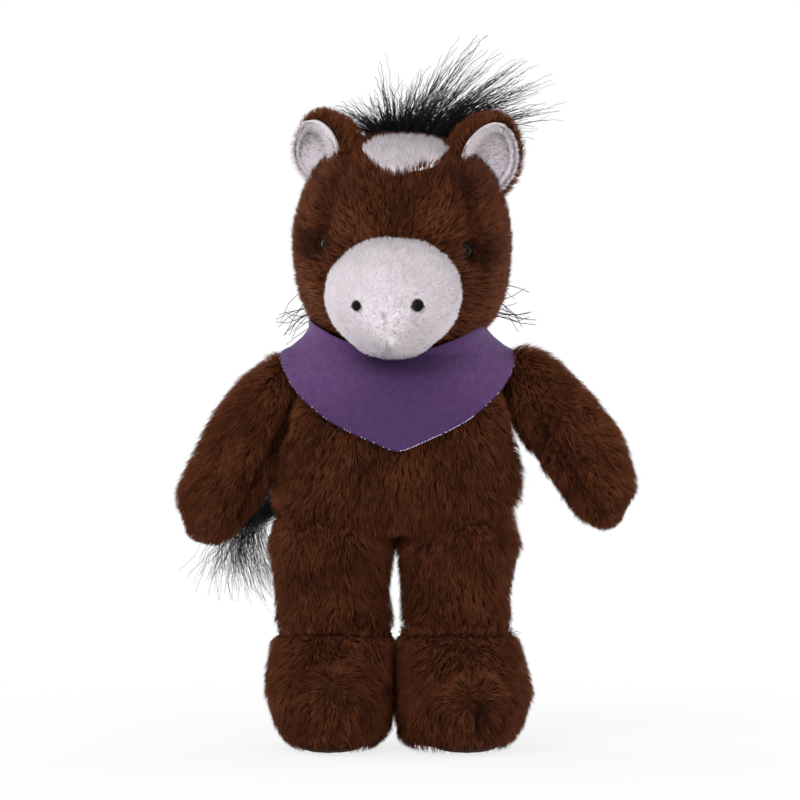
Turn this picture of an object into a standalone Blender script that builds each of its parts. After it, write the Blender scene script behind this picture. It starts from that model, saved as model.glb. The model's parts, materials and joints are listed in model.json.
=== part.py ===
# A standing plush horse: fur skins, stuffing, face, ears, hair, neckerchief and weighted feet.
# Metres, +Z up, the face towards -Y. Left and right are the toy's own, so left is +X.

from math import copysign, cos, pi, radians, sin

import bmesh
import bpy
from mathutils import Matrix, Vector
from mathutils.bvhtree import BVHTree

mm = 0.001

for stale in list(bpy.data.objects):
    bpy.data.objects.remove(stale, do_unlink=True)

# Cloth walls and the gaps between neighbours
skin_wall = 1.5 * mm
running_gap = 0.5 * mm
sewn_gap = 0.35 * mm
stuffing_gap = 0.8 * mm
cut_overrun = 30 * mm
weld_distance = 0.02 * mm

# Feet and soles
foot_height = 49.5 * mm
foot_inner_gap = 0.4 * mm
cuff_flare = 3.6 * mm
cuff_side_share = 0.6
cuff_front_share = 0.8
toe_reach = 22 * mm
heel_reach = 6 * mm
foot_flattening = 1.0 * mm
sole_thickness = 1.6 * mm
cuff_depth = 5.5 * mm
pellet_bag_height = 11 * mm
pellet_bag_share = 0.56

# Legs
leg_inner_gap = 1.8 * mm
leg_half_width = 22.2 * mm
leg_half_depth = 20.8 * mm
thigh_length = 26.5 * mm

# Body
torso_height = 80.5 * mm
torso_half_width = 47.5 * mm
torso_front_depth = 42 * mm
torso_back_depth = 39 * mm
torso_overlap = 1.5 * mm

# Arms
shoulder_radius = 20 * mm
shoulder_drop = 21.5 * mm
shoulder_out = 7.5 * mm
shoulder_plug = 4.5 * mm
arm_length = 60 * mm
arm_bulge = 24.5 * mm
arm_half_depth = 18 * mm
right_arm_spread = radians(21.5)
left_arm_spread = radians(29.5)
left_arm_forward = radians(26)

# Neck and head
neck_radius = 17 * mm
neck_rise = 1.6 * mm
head_lift = 1.4 * mm
head_height = 81 * mm
head_half_width = 41.8 * mm
head_front_depth = 40 * mm
head_back_depth = 38.5 * mm
head_turn = radians(-5)
head_roll = radians(2.5)
head_tilt = radians(1)

# Muzzle
muzzle_half_width = 26 * mm
muzzle_height = 45.5 * mm
muzzle_drop = 6.4 * mm
muzzle_centre_depth = 34 * mm
muzzle_reach = 25 * mm
muzzle_sink = 16 * mm

# Eyes and nostrils
eye_radius = 4.6 * mm
eye_dome = 3.2 * mm
eye_shank_radius = 1.3 * mm
eye_shank_length = 7.5 * mm
eye_spacing = 57.5 * mm
eye_height = 36.8 * mm
washer_radius = 5 * mm
washer_thickness = 1.2 * mm
washer_depth = 2.6 * mm
shank_clearance = 0.3 * mm
nostril_radius = 1.9 * mm
nostril_dome = 1.3 * mm
nostril_spacing = 23.4 * mm
nostril_height = 15 * mm

# Blaze patch on the crown
blaze_half_width = 14.5 * mm
blaze_half_height = 7.5 * mm
blaze_drop = 8.9 * mm
blaze_cloth = 1.3 * mm

# Ears
ear_height = 24.5 * mm
ear_root = 14 * mm
ear_half_width = 13.2 * mm
ear_half_thickness = 4.6 * mm
ear_cup_half_width = 10.6 * mm
ear_cup_half_height = 10.8 * mm
ear_cup_lift = 10.5 * mm
ear_cup_depth = 5.6 * mm
ear_lining_cloth = 1.2 * mm
ear_angle = radians(42)
ear_turn = radians(26)
ear_lean = radians(3)
ear_seat_gap = 0.9 * mm

# Hair
forelock_height = 25 * mm
forelock_half_width = 12 * mm
forelock_half_depth = 8 * mm
forelock_spread = 30 * mm
lock_radius = 3.2 * mm
mane_half_width = 11 * mm
mane_thickness = 9 * mm
mane_nape_height = 11 * mm
tail_length = 74 * mm
tail_height = 17 * mm
tail_aside = 3 * mm
tail_tab_radius = 5 * mm
tail_tab_length = 5 * mm
tail_root_radius = 4.2 * mm
tail_lock_radius = 5.2 * mm

# Neckerchief
cloth_thickness = 1 * mm
drape_gap = 0.1 * mm
bib_drop = 48.5 * mm
bib_side_rise = 7 * mm
bib_top_rise = 17 * mm
neckline_drop = 6 * mm
bib_shoulder_out = 6.5 * mm
neckline_width = 37.5 * mm
neckline_front = 33 * mm
neckline_back = 27.5 * mm
back_band = 9.5 * mm
knot_half_width = 8 * mm
knot_half_height = 6 * mm
knot_half_depth = 4.5 * mm
knot_end_length = 26 * mm
knot_end_width = 6.5 * mm

# Places that follow from the sizes above
hip_z = foot_height + thigh_length
torso_low = hip_z - torso_overlap
torso_top = torso_low + torso_height
shoulder_z = torso_top - shoulder_drop
neck_z = torso_top + neck_rise
leg_x = leg_inner_gap + leg_half_width
foot_half_width = leg_half_width + cuff_flare
foot_x = foot_inner_gap + foot_half_width
leg_dome = leg_half_depth + running_gap
hip_socket = leg_dome + running_gap
shoulder_sweep = shoulder_radius + sewn_gap
shoulder_socket = shoulder_sweep + running_gap

# Shares of the torso: height, half width, front depth, back depth
chest_share = 0.87
torso_shares = [
    (0.05, 0.74, 0.16, 0.80),
    (0.17, 0.98, 0.65, 0.98),
    (0.34, 1.00, 0.98, 1.00),
    (0.52, 0.95, 1.00, 0.96),
    (0.70, chest_share, 0.94, 0.88),
    (0.87, 0.82, 0.82, 0.77),
    (0.965, 0.62, 0.63, 0.58),
]
chest_side = torso_half_width * chest_share
shoulder_x = chest_side + shoulder_out
plug_x = chest_side - shoulder_plug
arm_free_x = torso_half_width + running_gap

horse = bpy.data.collections.new("plush_horse")
guides = bpy.data.collections.new("cutters")
bpy.context.scene.collection.children.link(horse)
bpy.context.scene.collection.children.link(guides)


def finish(name, colour, roughness, metallic=0.0):
    """One plain material in the colour of the real cloth, hair or plastic."""
    made = bpy.data.materials.new(name)
    made.use_nodes = True
    surface = made.node_tree.nodes["Principled BSDF"]
    surface.inputs["Base Color"].default_value = (*colour, 1.0)
    surface.inputs["Roughness"].default_value = roughness
    surface.inputs["Metallic"].default_value = metallic
    return made


brown_fur = finish("brown_fur", (0.051, 0.018, 0.010), 0.85)
white_pile = finish("white_pile", (0.70, 0.66, 0.68), 0.8)
grey_pile = finish("grey_pile", (0.48, 0.44, 0.46), 0.8)
black_hair = finish("black_hair", (0.012, 0.011, 0.013), 0.45)
stuffing_white = finish("stuffing_white", (0.80, 0.80, 0.78), 0.9)
purple_cloth = finish("purple_cloth", (0.095, 0.048, 0.147), 0.75)
black_plastic = finish("black_plastic", (0.008, 0.007, 0.007), 0.12)
black_thread = finish("black_thread", (0.015, 0.014, 0.015), 0.7)
washer_white = finish("washer_white", (0.72, 0.72, 0.70), 0.5)
pellet_cloth = finish("pellet_cloth", (0.62, 0.60, 0.55), 0.8)


def pivot(name, place, parent=None, turn=Matrix.Identity(3)):
    """An empty on a joint axis; what it carries is modelled from there."""
    empty = bpy.data.objects.new(name, None)
    horse.objects.link(empty)
    empty.parent = parent
    empty.matrix_local = Matrix.Translation(place) @ turn.to_4x4()
    return empty


def piece(name, mesh, parent, material):
    """One named sub-part."""
    made = bpy.data.objects.new(name, mesh.copy())
    horse.objects.link(made)
    made.parent = parent
    made.data.name = name
    made.data.materials.clear()
    made.data.materials.append(material)
    made.data.shade_smooth()
    return made


def guide(name, mesh, parent):
    """A shape that only cuts others."""
    made = bpy.data.objects.new(name, mesh.copy())
    guides.objects.link(made)
    made.parent = parent
    made.hide_render = True
    made.display_type = "WIRE"
    return made


def subdivide(target):
    rounding = target.modifiers.new("rounding", "SUBSURF")
    rounding.levels = 1
    rounding.render_levels = 1
    return target


def swell(target, distance):
    """Moves a smooth surface out by distance, or in where it is negative."""
    moved = target.modifiers.new("swell", "DISPLACE")
    moved.mid_level = 0.0
    moved.strength = distance
    return target


def hollow(target, wall, outwards=False):
    """Gives a surface its wall, inside it or outside it."""
    walled = target.modifiers.new("wall", "SOLIDIFY")
    walled.thickness = wall
    walled.offset = 1.0 if outwards else -1.0
    return target


def cut(target, cutter, operation="DIFFERENCE"):
    carved = target.modifiers.new(cutter.name, "BOOLEAN")
    carved.operation = operation
    carved.solver = "EXACT"
    carved.object = cutter
    return target


def mesh_of(name, shape):
    """Closes a bmesh into a mesh whose faces point outwards."""
    bmesh.ops.recalc_face_normals(shape, faces=shape.faces)
    made = bpy.data.meshes.new(name)
    shape.to_mesh(made)
    shape.free()
    return made


def box(name, low, high):
    shape = bmesh.new()
    size = Vector(high) - Vector(low)
    middle = (Vector(high) + Vector(low)) / 2
    bmesh.ops.create_cube(shape, size=1.0, matrix=Matrix.Translation(middle) @ Matrix.Diagonal((*size, 1.0)))
    return mesh_of(name, shape)


def cylinder(name, start, end, radius, sides=36):
    """A round bar from start to end."""
    shape = bmesh.new()
    along = Vector(end) - Vector(start)
    turn = along.to_track_quat("Z", "Y").to_matrix().to_4x4()
    bmesh.ops.create_cone(
        shape,
        cap_ends=True,
        segments=sides,
        radius1=radius,
        radius2=radius,
        depth=along.length,
        matrix=Matrix.Translation((Vector(start) + Vector(end)) / 2) @ turn,
    )
    return mesh_of(name, shape)


def ball(name, centre, half_sizes, around=16, along=10):
    shape = bmesh.new()
    bmesh.ops.create_uvsphere(
        shape,
        u_segments=around,
        v_segments=along,
        radius=1.0,
        matrix=Matrix.Translation(centre) @ Matrix.Diagonal((*half_sizes, 1.0)),
    )
    return mesh_of(name, shape)


def ring_points(row, sides, fullness):
    """One level of a soft form: an ellipse, squarer where fullness is above 2."""
    z, x, y, left, right, front, back = row
    points = []
    for step in range(sides):
        angle = 2 * pi * step / sides
        across = copysign(abs(cos(angle)) ** (2 / fullness), cos(angle))
        ahead = copysign(abs(sin(angle)) ** (2 / fullness), sin(angle))
        reach_x = right if across > 0 else left
        reach_y = back if ahead > 0 else front
        points.append(Vector((x + across * reach_x, y + ahead * reach_y, z)))
    return points


def smooth_surface(mesh):
    """The points and faces of a cage's smooth surface. Its first points are the cage's own."""
    probe = subdivide(bpy.data.objects.new("probe", mesh))
    bpy.context.scene.collection.objects.link(probe)
    graph = bpy.context.evaluated_depsgraph_get()
    shown = probe.evaluated_get(graph).to_mesh()
    points = [vertex.co.copy() for vertex in shown.vertices]
    faces = [face.vertices[:] for face in shown.polygons]
    bpy.data.objects.remove(probe, do_unlink=True)
    return points, faces


def core_form(mesh):
    """A plainer form inside a smooth one: the cage with its points on the smooth surface."""
    core = mesh.copy()
    for vertex, place in zip(core.vertices, smooth_surface(mesh)[0]):
        vertex.co = place
    return core


def soft_form(name, rows, sides=10, fullness=2.3):
    """A coarse cage of stacked rings between two poles, whose smooth surface fills the rows' own box."""
    shape = bmesh.new()
    rings = [[shape.verts.new(point) for point in ring_points(row, sides, fullness)] for row in rows[1:-1]]
    low_pole = shape.verts.new((rows[0][1], rows[0][2], rows[0][0]))
    high_pole = shape.verts.new((rows[-1][1], rows[-1][2], rows[-1][0]))
    for step in range(sides):
        after = (step + 1) % sides
        shape.faces.new((low_pole, rings[0][after], rings[0][step]))
        shape.faces.new((high_pole, rings[-1][step], rings[-1][after]))
        for lower, upper in zip(rings, rings[1:]):
            shape.faces.new((lower[step], lower[after], upper[after], upper[step]))
    made = mesh_of(name, shape)
    smooth_points = smooth_surface(made)[0]
    for axis in range(3):
        lowest = min(vertex.co[axis] for vertex in made.vertices)
        highest = max(vertex.co[axis] for vertex in made.vertices)
        low = min(point[axis] for point in smooth_points)
        high = max(point[axis] for point in smooth_points)
        for vertex in made.vertices:
            vertex.co[axis] = lowest + (vertex.co[axis] - low) * (highest - lowest) / (high - low)
    return made


def even_rows(shares, low, height, left, right, front, back, x=0.0, y=0.0):
    """Rows from shares (height, half width, front, back), with a pole under them and one over them."""
    rows = [(low + level * height, x, y, left * wide, right * wide, front * ahead, back * behind)
            for level, wide, ahead, behind in shares]
    for place, level in ((0, low), (len(rows), low + height)):
        nearest = rows[min(place, len(rows) - 1)]
        middle_x = x + (nearest[4] - nearest[3]) / 2
        middle_y = y + (nearest[6] - nearest[5]) / 2
        rows.insert(place + min(place, 1), (level, middle_x, middle_y, 0.0, 0.0, 0.0, 0.0))
    return rows


def make_stuffing(name, form, parent):
    """The filling inside a skin, clear of its inner face."""
    return swell(piece(name, core_form(form), parent, stuffing_white), -skin_wall - stuffing_gap)


def mirrored(rows, side):
    """The same rows for the toy's left (1) or right (-1)."""
    if side > 0:
        return rows
    return [(z, -x, y, right, left, front, back) for z, x, y, left, right, front, back in rows]


def surface_finder(mesh):
    """Finds where a ray meets a form's smooth surface, with the face's normal there."""
    tree = BVHTree.FromPolygons(*smooth_surface(mesh))

    def find(start, direction):
        place, normal, _, _ = tree.ray_cast(start, direction)
        return place, normal

    return find


def turned(name, profile, material, parent, matrix, steps=16):
    """A turned solid round its own Z, its profile running from top to bottom as (radius, height)."""
    outline = bmesh.new()
    points = [outline.verts.new((radius, 0.0, height)) for radius, height in profile]
    for first, second in zip(points, points[1:]):
        outline.edges.new((first, second))
    mesh = bpy.data.meshes.new(name)
    outline.to_mesh(mesh)
    outline.free()
    made = piece(name, mesh, parent, material)
    made.matrix_local = matrix
    lathe = made.modifiers.new("lathe", "SCREW")
    lathe.axis = "Z"
    lathe.angle = 2 * pi
    lathe.screw_offset = 0.0
    lathe.steps = steps
    lathe.render_steps = steps
    lathe.use_merge_vertices = True
    lathe.merge_threshold = weld_distance
    return made


def lock_mesh(name, points, radii):
    """A tapered lock of hair along points."""
    line = bpy.data.curves.new(name, "CURVE")
    line.dimensions = "3D"
    line.bevel_depth = 1.0
    line.bevel_resolution = 1
    line.use_fill_caps = True
    spline = line.splines.new("POLY")
    spline.points.add(len(points) - 1)
    for spot, place, radius in zip(spline.points, points, radii):
        spot.co = (*place, 1.0)
        spot.radius = radius
    tube = bpy.data.objects.new(name, line)
    bpy.context.scene.collection.objects.link(tube)
    graph = bpy.context.evaluated_depsgraph_get()
    mesh = bpy.data.meshes.new_from_object(tube.evaluated_get(graph))
    bpy.data.objects.remove(tube, do_unlink=True)
    shape = bmesh.new()
    shape.from_mesh(mesh)
    bmesh.ops.remove_doubles(shape, verts=shape.verts, dist=weld_distance)
    return mesh_of(name, shape)


def bent_path(start, end, rise, steps):
    """Points from start to end on a bow whose middle is moved by rise."""
    path = []
    for step in range(steps):
        share = step / (steps - 1)
        path.append(Vector(start).lerp(Vector(end), share) + Vector(rise) * 4 * share * (1 - share))
    return path


def fuse(target, name, meshes, parent):
    """Joins loose shapes to a piece as one body."""
    group = bpy.data.collections.new(name)
    guides.children.link(group)
    for number, mesh in enumerate(meshes):
        part = guide(f"{name}_{number}", mesh, parent)
        guides.objects.unlink(part)
        group.objects.link(part)
    joined = target.modifiers.new(name, "BOOLEAN")
    joined.operation = "UNION"
    joined.solver = "EXACT"
    joined.operand_type = "COLLECTION"
    joined.collection = group
    return target


root = pivot("horse_root", (0.0, 0.0, 0.0))
neck_pivot = pivot("neck_pivot", (0.0, 0.0, neck_z), root)
head_matrix = Matrix.Rotation(head_turn, 3, "Z")
head_matrix = head_matrix @ Matrix.Rotation(head_roll, 3, "Y") @ Matrix.Rotation(head_tilt, 3, "X")
head_pivot = pivot("head_pivot", (0.0, 0.0, 0.0), neck_pivot, head_matrix)

# Body

torso_rows = even_rows(torso_shares, torso_low, torso_height, torso_half_width, torso_half_width,
                       torso_front_depth, torso_back_depth)
torso_form = soft_form("torso_form", torso_rows)
find_on_torso = surface_finder(torso_form)

neck_room = ball("neck_hollow", (0.0, 0.0, neck_z), [neck_radius + running_gap] * 3)
neck_hollow = guide("neck_hollow", neck_room, root)
hip_bar = guide(
    "hip_bar",
    cylinder("hip_bar", (-torso_half_width - cut_overrun, 0.0, hip_z),
             (torso_half_width + cut_overrun, 0.0, hip_z), hip_socket),
    root,
)


def socket_bar(name, inner_x, radius, side):
    """A bar along X from inner_x outwards, round the shoulder axis."""
    return guide(
        name,
        cylinder(name, (side * inner_x, 0.0, shoulder_z),
                 (side * (arm_free_x + cut_overrun), 0.0, shoulder_z), radius),
        root,
    )


torso_sockets = []
for side in (1, -1):
    torso_sockets.append(socket_bar(f"socket_{side}", plug_x - running_gap, shoulder_socket, side))


def make_torso():
    skin = hollow(subdivide(piece("torso_skin", torso_form, root, brown_fur)), skin_wall)
    stuffing = make_stuffing("torso_stuffing", torso_form, root)
    for part in (skin, stuffing):
        for cutter in (neck_hollow, hip_bar, *torso_sockets):
            cut(part, cutter)


make_torso()

# Neck: a short stuffed plug between the body's opening and the head's

piece("neck_stuffing", ball("neck_stuffing", (0.0, 0.0, 0.0), [neck_radius] * 3), neck_pivot, stuffing_white)

# Arms

arm_shares = [
    # height, inner, outer and depth as shares of the arm's own sizes
    (0.05, 0.50, 0.46, 0.58),
    (0.20, 0.62, 0.84, 0.88),
    (0.40, 0.56, 1.00, 0.95),
    (0.60, 0.68, 0.98, 0.98),
    (0.78, 1.00, 0.82, 1.00),
    (0.94, 0.70, 0.56, 0.72),
]


def make_arm(side, word, spread, forward):
    turn = Matrix.Rotation(-forward, 3, "X") @ Matrix.Rotation(-side * spread, 3, "Y")
    joint = pivot(f"arm_{word}_pivot", (side * shoulder_x, 0.0, shoulder_z), root, turn)
    height = arm_length + shoulder_radius
    rows = [(level * height - arm_length, 0.0, 0.0, shoulder_radius * inner, arm_bulge * outer,
             arm_half_depth * deep, arm_half_depth * deep) for level, inner, outer, deep in arm_shares]
    rows.insert(0, (-arm_length, 0.0, 0.0, 0.0, 0.0, 0.0, 0.0))
    rows.append((shoulder_radius, 0.0, 0.0, 0.0, 0.0, 0.0, 0.0))
    form = soft_form(f"arm_{word}_form", mirrored(rows, side), sides=8, fullness=2.1)
    # The arm is sewn to the body where its root meets the body's side, inside the shoulder's sweep
    low = (min(0.0, side * arm_free_x), -torso_height, torso_low - cut_overrun)
    high = (max(0.0, side * arm_free_x), torso_height, torso_top + cut_overrun)
    body_side = guide(f"arm_{word}_body_side", box(f"arm_{word}_body_side", low, high), root)
    cut(body_side, socket_bar(f"arm_{word}_sweep", plug_x, shoulder_sweep, side))
    skin = hollow(subdivide(piece(f"arm_{word}_skin", form, joint, brown_fur)), skin_wall)
    stuffing = make_stuffing(f"arm_{word}_stuffing", form, joint)
    cut(skin, body_side)
    cut(stuffing, body_side)


make_arm(1, "left", left_arm_spread, left_arm_forward)
make_arm(-1, "right", right_arm_spread, 0.0)

# Legs and feet

leg_shares = [
    # height, half width and depth as shares
    (0.10, 1.00, 1.00),
    (0.40, 0.98, 0.98),
    (0.67, 1.00, 1.00),
    (0.91, 0.78, 0.74),
]
foot_shares = [
    # height as a share of the foot, then half width, toe and heel as shares
    (0.04, 0.80, 0.84, 0.76),
    (0.24, 1.00, 1.00, 1.00),
    (0.52, 1.00, 0.94, 1.00),
    (0.76, 0.965, 0.74, 0.93),
]


def make_leg(side, word):
    joint = pivot(f"leg_{word}_pivot", (0.0, 0.0, hip_z), root)
    cuff_z = foot_height - hip_z
    leg_low = cuff_z - cuff_depth
    leg_rows = []
    leg_reach = leg_dome - leg_low + cuff_depth
    for level, wide, deep in leg_shares:
        leg_rows.append((leg_low - cuff_depth + level * leg_reach, leg_x, 0.0, leg_half_width * wide,
                         leg_half_width * wide, leg_half_depth * deep, leg_half_depth * deep))
    leg_rows.insert(0, (leg_low - cuff_depth, leg_x, 0.0, 0.0, 0.0, 0.0, 0.0))
    leg_rows.append((leg_dome, leg_x, 0.0, 0.0, 0.0, 0.0, 0.0))
    leg_form = soft_form(f"leg_{word}_form", mirrored(leg_rows, side), sides=8, fullness=2.4)

    toe = leg_half_depth + toe_reach
    heel = leg_half_depth + heel_reach
    foot_rows = [(-hip_z + level * foot_height, foot_x, 0.0, foot_half_width * wide, foot_half_width * wide,
                  toe * ahead, heel * behind) for level, wide, ahead, behind in foot_shares]
    cuff_wide = leg_half_width + cuff_flare * cuff_side_share
    cuff_deep = leg_half_depth + cuff_flare * cuff_front_share
    cuff_centre = (leg_x + foot_x) / 2
    for cuff_row in (cuff_z, cuff_z + cuff_depth):
        foot_rows.append((cuff_row, cuff_centre, 0.0, cuff_wide, cuff_wide, cuff_deep, cuff_deep))
    foot_rows.insert(0, (-hip_z - foot_flattening, foot_x, -toe_reach / 3, 0.0, 0.0, 0.0, 0.0))
    foot_rows.append((cuff_z + cuff_depth + cuff_flare, cuff_centre, 0.0, 0.0, 0.0, 0.0, 0.0))
    foot_form = soft_form(f"foot_{word}_form", mirrored(foot_rows, side), sides=8, fullness=2.4)

    # The leg ends inside the foot's cuff; the foot ends on its sole
    wide = torso_half_width + cut_overrun
    floor = -hip_z - cut_overrun
    sole_top = -hip_z + sole_thickness

    def slab(name, low, high):
        return guide(f"{name}_{word}", box(f"{name}_{word}", (-wide, -wide, low), (wide, wide, high)), joint)

    under_leg = slab("under_leg", floor, leg_low)
    over_cuff = slab("over_cuff", cuff_z, cuff_z + cut_overrun)
    over_fill = slab("over_fill", leg_low - sewn_gap, leg_low + cut_overrun)
    under_foot = slab("under_foot", floor, sole_top + sewn_gap)
    leg_room = swell(subdivide(guide(f"leg_room_{word}", leg_form, joint)), sewn_gap)
    cut(leg_room, slab("leg_room_floor", floor, leg_low - sewn_gap))

    leg_skin = hollow(subdivide(piece(f"leg_{word}_skin", leg_form, joint, brown_fur)), skin_wall)
    leg_fill = make_stuffing(f"leg_{word}_stuffing", leg_form, joint)
    cut(leg_skin, under_leg)
    cut(leg_fill, under_leg)

    foot_skin = hollow(subdivide(piece(f"foot_{word}_skin", foot_form, joint, brown_fur)), skin_wall)
    cut(foot_skin, over_cuff)
    cut(foot_skin, under_foot)
    cut(foot_skin, leg_room)
    foot_fill = make_stuffing(f"foot_{word}_stuffing", foot_form, joint)
    cut(foot_fill, over_fill)
    cut(foot_fill, under_foot)

    bag_low = sole_top + sewn_gap
    bag_shares = [(0.15, 0.86, 0.86, 0.86), (0.85, 0.84, 0.84, 0.84)]
    bag_wide = foot_half_width * pellet_bag_share
    bag_rows = even_rows(bag_shares, bag_low, pellet_bag_height, bag_wide, bag_wide, toe * pellet_bag_share,
                         heel * pellet_bag_share, x=foot_x)
    bag_form = soft_form(f"pellet_bag_{word}_form", mirrored(bag_rows, side), sides=8, fullness=2.2)
    subdivide(piece(f"pellet_bag_{word}", bag_form, joint, pellet_cloth))
    cut(foot_fill, swell(subdivide(guide(f"pellet_room_{word}", bag_form, joint)), sewn_gap))

    sole_slab = box(f"sole_{word}", (-wide, -wide, -hip_z), (wide, wide, sole_top))
    sole = piece(f"sole_{word}", sole_slab, joint, brown_fur)
    cut(sole, subdivide(guide(f"sole_outline_{word}", foot_form, joint)), "INTERSECT")


make_leg(1, "left")
make_leg(-1, "right")

# Head

head_shares = [
    (0.045, 0.62, 0.62, 0.62),
    (0.16, 0.93, 0.91, 0.91),
    (0.36, 1.00, 0.99, 0.99),
    (0.60, 1.00, 1.00, 1.00),
    (0.80, 0.89, 0.87, 0.90),
    (0.95, 0.55, 0.53, 0.57),
]
head_form = soft_form(
    "head_form",
    even_rows(head_shares, head_lift, head_height, head_half_width, head_half_width, head_front_depth,
              head_back_depth),
)
find_on_head = surface_finder(head_form)
head_middle = Vector((0.0, 0.0, head_lift + head_height / 2))
backwards = Vector((0.0, 1.0, 0.0))
head_room = swell(subdivide(guide("head_room", head_form, head_pivot)), sewn_gap)
ear_room = swell(subdivide(guide("ear_room", head_form, head_pivot)), ear_seat_gap)

head_skin = hollow(subdivide(piece("head_skin", head_form, head_pivot, brown_fur)), skin_wall)
head_stuffing = make_stuffing("head_stuffing", head_form, head_pivot)
cut(head_skin, neck_hollow)
cut(head_stuffing, neck_hollow)

# Muzzle

muzzle_shares = [
    (0.06, 0.56, 0.62, 0.80),
    (0.25, 0.92, 0.97, 1.00),
    (0.50, 1.00, 1.00, 1.00),
    (0.75, 0.92, 0.87, 1.00),
    (0.94, 0.56, 0.50, 0.80),
]
muzzle_low = head_lift - muzzle_drop
muzzle_form = soft_form(
    "muzzle_form",
    even_rows(muzzle_shares, muzzle_low, muzzle_height, muzzle_half_width, muzzle_half_width, muzzle_reach,
              muzzle_sink, y=-muzzle_centre_depth),
    fullness=2.15,
)
find_on_muzzle = surface_finder(muzzle_form)
muzzle_skin = hollow(subdivide(piece("muzzle_skin", muzzle_form, head_pivot, white_pile)), skin_wall)
muzzle_stuffing = make_stuffing("muzzle_stuffing", muzzle_form, head_pivot)
cut(muzzle_skin, head_room)
cut(muzzle_stuffing, head_room)


def facing(place, normal):
    """A frame at place whose Z runs along normal."""
    return Matrix.Translation(place) @ normal.to_track_quat("Z", "Y").to_matrix().to_4x4()


def dome_profile(radius, height, steps=5):
    """A round cap from its top to its rim."""
    angles = [pi / 2 * step / steps for step in range(steps + 1)]
    return [(radius * sin(angle), height * cos(angle)) for angle in angles]


def make_eye(side, word):
    start = Vector((side * eye_spacing / 2, -head_front_depth - cut_overrun, eye_height))
    place, normal = find_on_head(start, backwards)
    seat = facing(place, normal)
    lift = [(radius, height + sewn_gap) for radius, height in dome_profile(eye_radius, eye_dome)]
    shank = [
        (eye_shank_radius, sewn_gap),
        (eye_shank_radius, -eye_shank_length),
        (0.0, -eye_shank_length),
    ]
    turned(f"eye_{word}", lift + shank, black_plastic, head_pivot, seat)
    hole_radius = eye_shank_radius + shank_clearance
    shank_end = (0.0, 0.0, -eye_shank_length)
    front = (0.0, 0.0, eye_dome)
    hole_mesh = cylinder(f"eye_hole_{word}", shank_end, front, hole_radius, 16)
    hole = guide(f"eye_hole_{word}", hole_mesh, head_pivot)
    hole.matrix_local = seat
    cut(head_skin, hole)
    washer_top = -washer_depth
    washer = [
        (hole_radius, washer_top),
        (washer_radius, washer_top),
        (washer_radius, washer_top - washer_thickness),
        (hole_radius, washer_top - washer_thickness),
        (hole_radius, washer_top),
    ]
    turned(f"eye_washer_{word}", washer, washer_white, head_pivot, seat)
    room_end = (0.0, 0.0, -eye_shank_length - washer_thickness)
    room_mesh = cylinder(f"washer_room_{word}", room_end, front, washer_radius + stuffing_gap, 20)
    room = guide(f"washer_room_{word}", room_mesh, head_pivot)
    room.matrix_local = seat
    cut(head_stuffing, room)


def make_nostril(side, word):
    ahead = muzzle_centre_depth + muzzle_reach + cut_overrun
    place, normal = find_on_muzzle(Vector((side * nostril_spacing / 2, -ahead, nostril_height)), backwards)
    lift = [(radius, height + sewn_gap) for radius, height in dome_profile(nostril_radius, nostril_dome, 4)]
    turned(f"nostril_{word}", lift + [(0.0, sewn_gap)], black_thread, head_pivot, facing(place, normal), 14)


for side, word in ((1, "left"), (-1, "right")):
    make_eye(side, word)
    make_nostril(side, word)

# Blaze: a pale patch set on the crown, following the head

blaze_out = swell(subdivide(guide("blaze_out", head_form, head_pivot)), sewn_gap + blaze_cloth)
blaze_height = head_lift + head_height - blaze_drop
blaze_place, _ = find_on_head(Vector((0.0, -head_front_depth - cut_overrun, blaze_height)), backwards)
blaze_prism = ball("blaze_patch", (0.0, blaze_place.y, blaze_height),
                   (blaze_half_width, blaze_half_height * 2, blaze_half_height), 20, 10)
blaze = piece("blaze_patch", blaze_prism, head_pivot, grey_pile)
cut(blaze, blaze_out, "INTERSECT")
cut(blaze, head_room)

# Ears

ear_shares = [
    (0.08, 0.74, 0.80, 0.80),
    (0.40, 0.98, 1.00, 1.00),
    (0.70, 1.00, 1.00, 1.00),
    (0.94, 0.60, 0.66, 0.66),
]


def make_ear(side, word):
    outward = Vector((side * cos(ear_angle), 0.0, sin(ear_angle)))
    place, normal = find_on_head(head_middle, outward)
    turn = Matrix.Rotation(side * ear_turn, 3, "Z") @ Matrix.Rotation(-side * ear_lean, 3, "Y")
    # The hinge's X runs along the ear's base; the ear itself stands upright on it
    base = turn.col[1].cross(normal).normalized()
    hinge_turn = Matrix((base, normal.cross(base), normal)).transposed()
    hinge = pivot(f"ear_{word}_hinge", place, head_pivot, hinge_turn)
    frame = pivot(f"ear_{word}_pivot", (0.0, 0.0, 0.0), hinge, hinge_turn.transposed() @ turn)
    form = soft_form(
        f"ear_{word}_form",
        even_rows(ear_shares, -ear_root, ear_height + ear_root, ear_half_width, ear_half_width,
                  ear_half_thickness, ear_half_thickness),
        sides=8,
        fullness=2.2,
    )
    cup_sizes = (ear_cup_half_width, ear_cup_depth, ear_cup_half_height)
    cup = ball(f"ear_cup_{word}", (0.0, -ear_half_thickness, ear_cup_lift), cup_sizes)
    cup_guide = guide(f"ear_cup_{word}", cup, frame)
    outer = subdivide(piece(f"ear_{word}_back", form, frame, brown_fur))
    cut(outer, cup_guide)
    cut(outer, ear_room)
    lining_out = ball(f"ear_{word}_lining", (0.0, -ear_half_thickness, ear_cup_lift),
                      [size - sewn_gap for size in cup_sizes])
    lining_in = ball(f"ear_lining_in_{word}", (0.0, -ear_half_thickness, ear_cup_lift),
                     [size - sewn_gap - ear_lining_cloth for size in cup_sizes])
    lining = piece(f"ear_{word}_lining", lining_out, frame, white_pile)
    cut(lining, guide(f"ear_lining_in_{word}", lining_in, frame))
    cut(lining, subdivide(guide(f"ear_lining_edge_{word}", form, frame)), "INTERSECT")
    cut(lining, ear_room)


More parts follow.
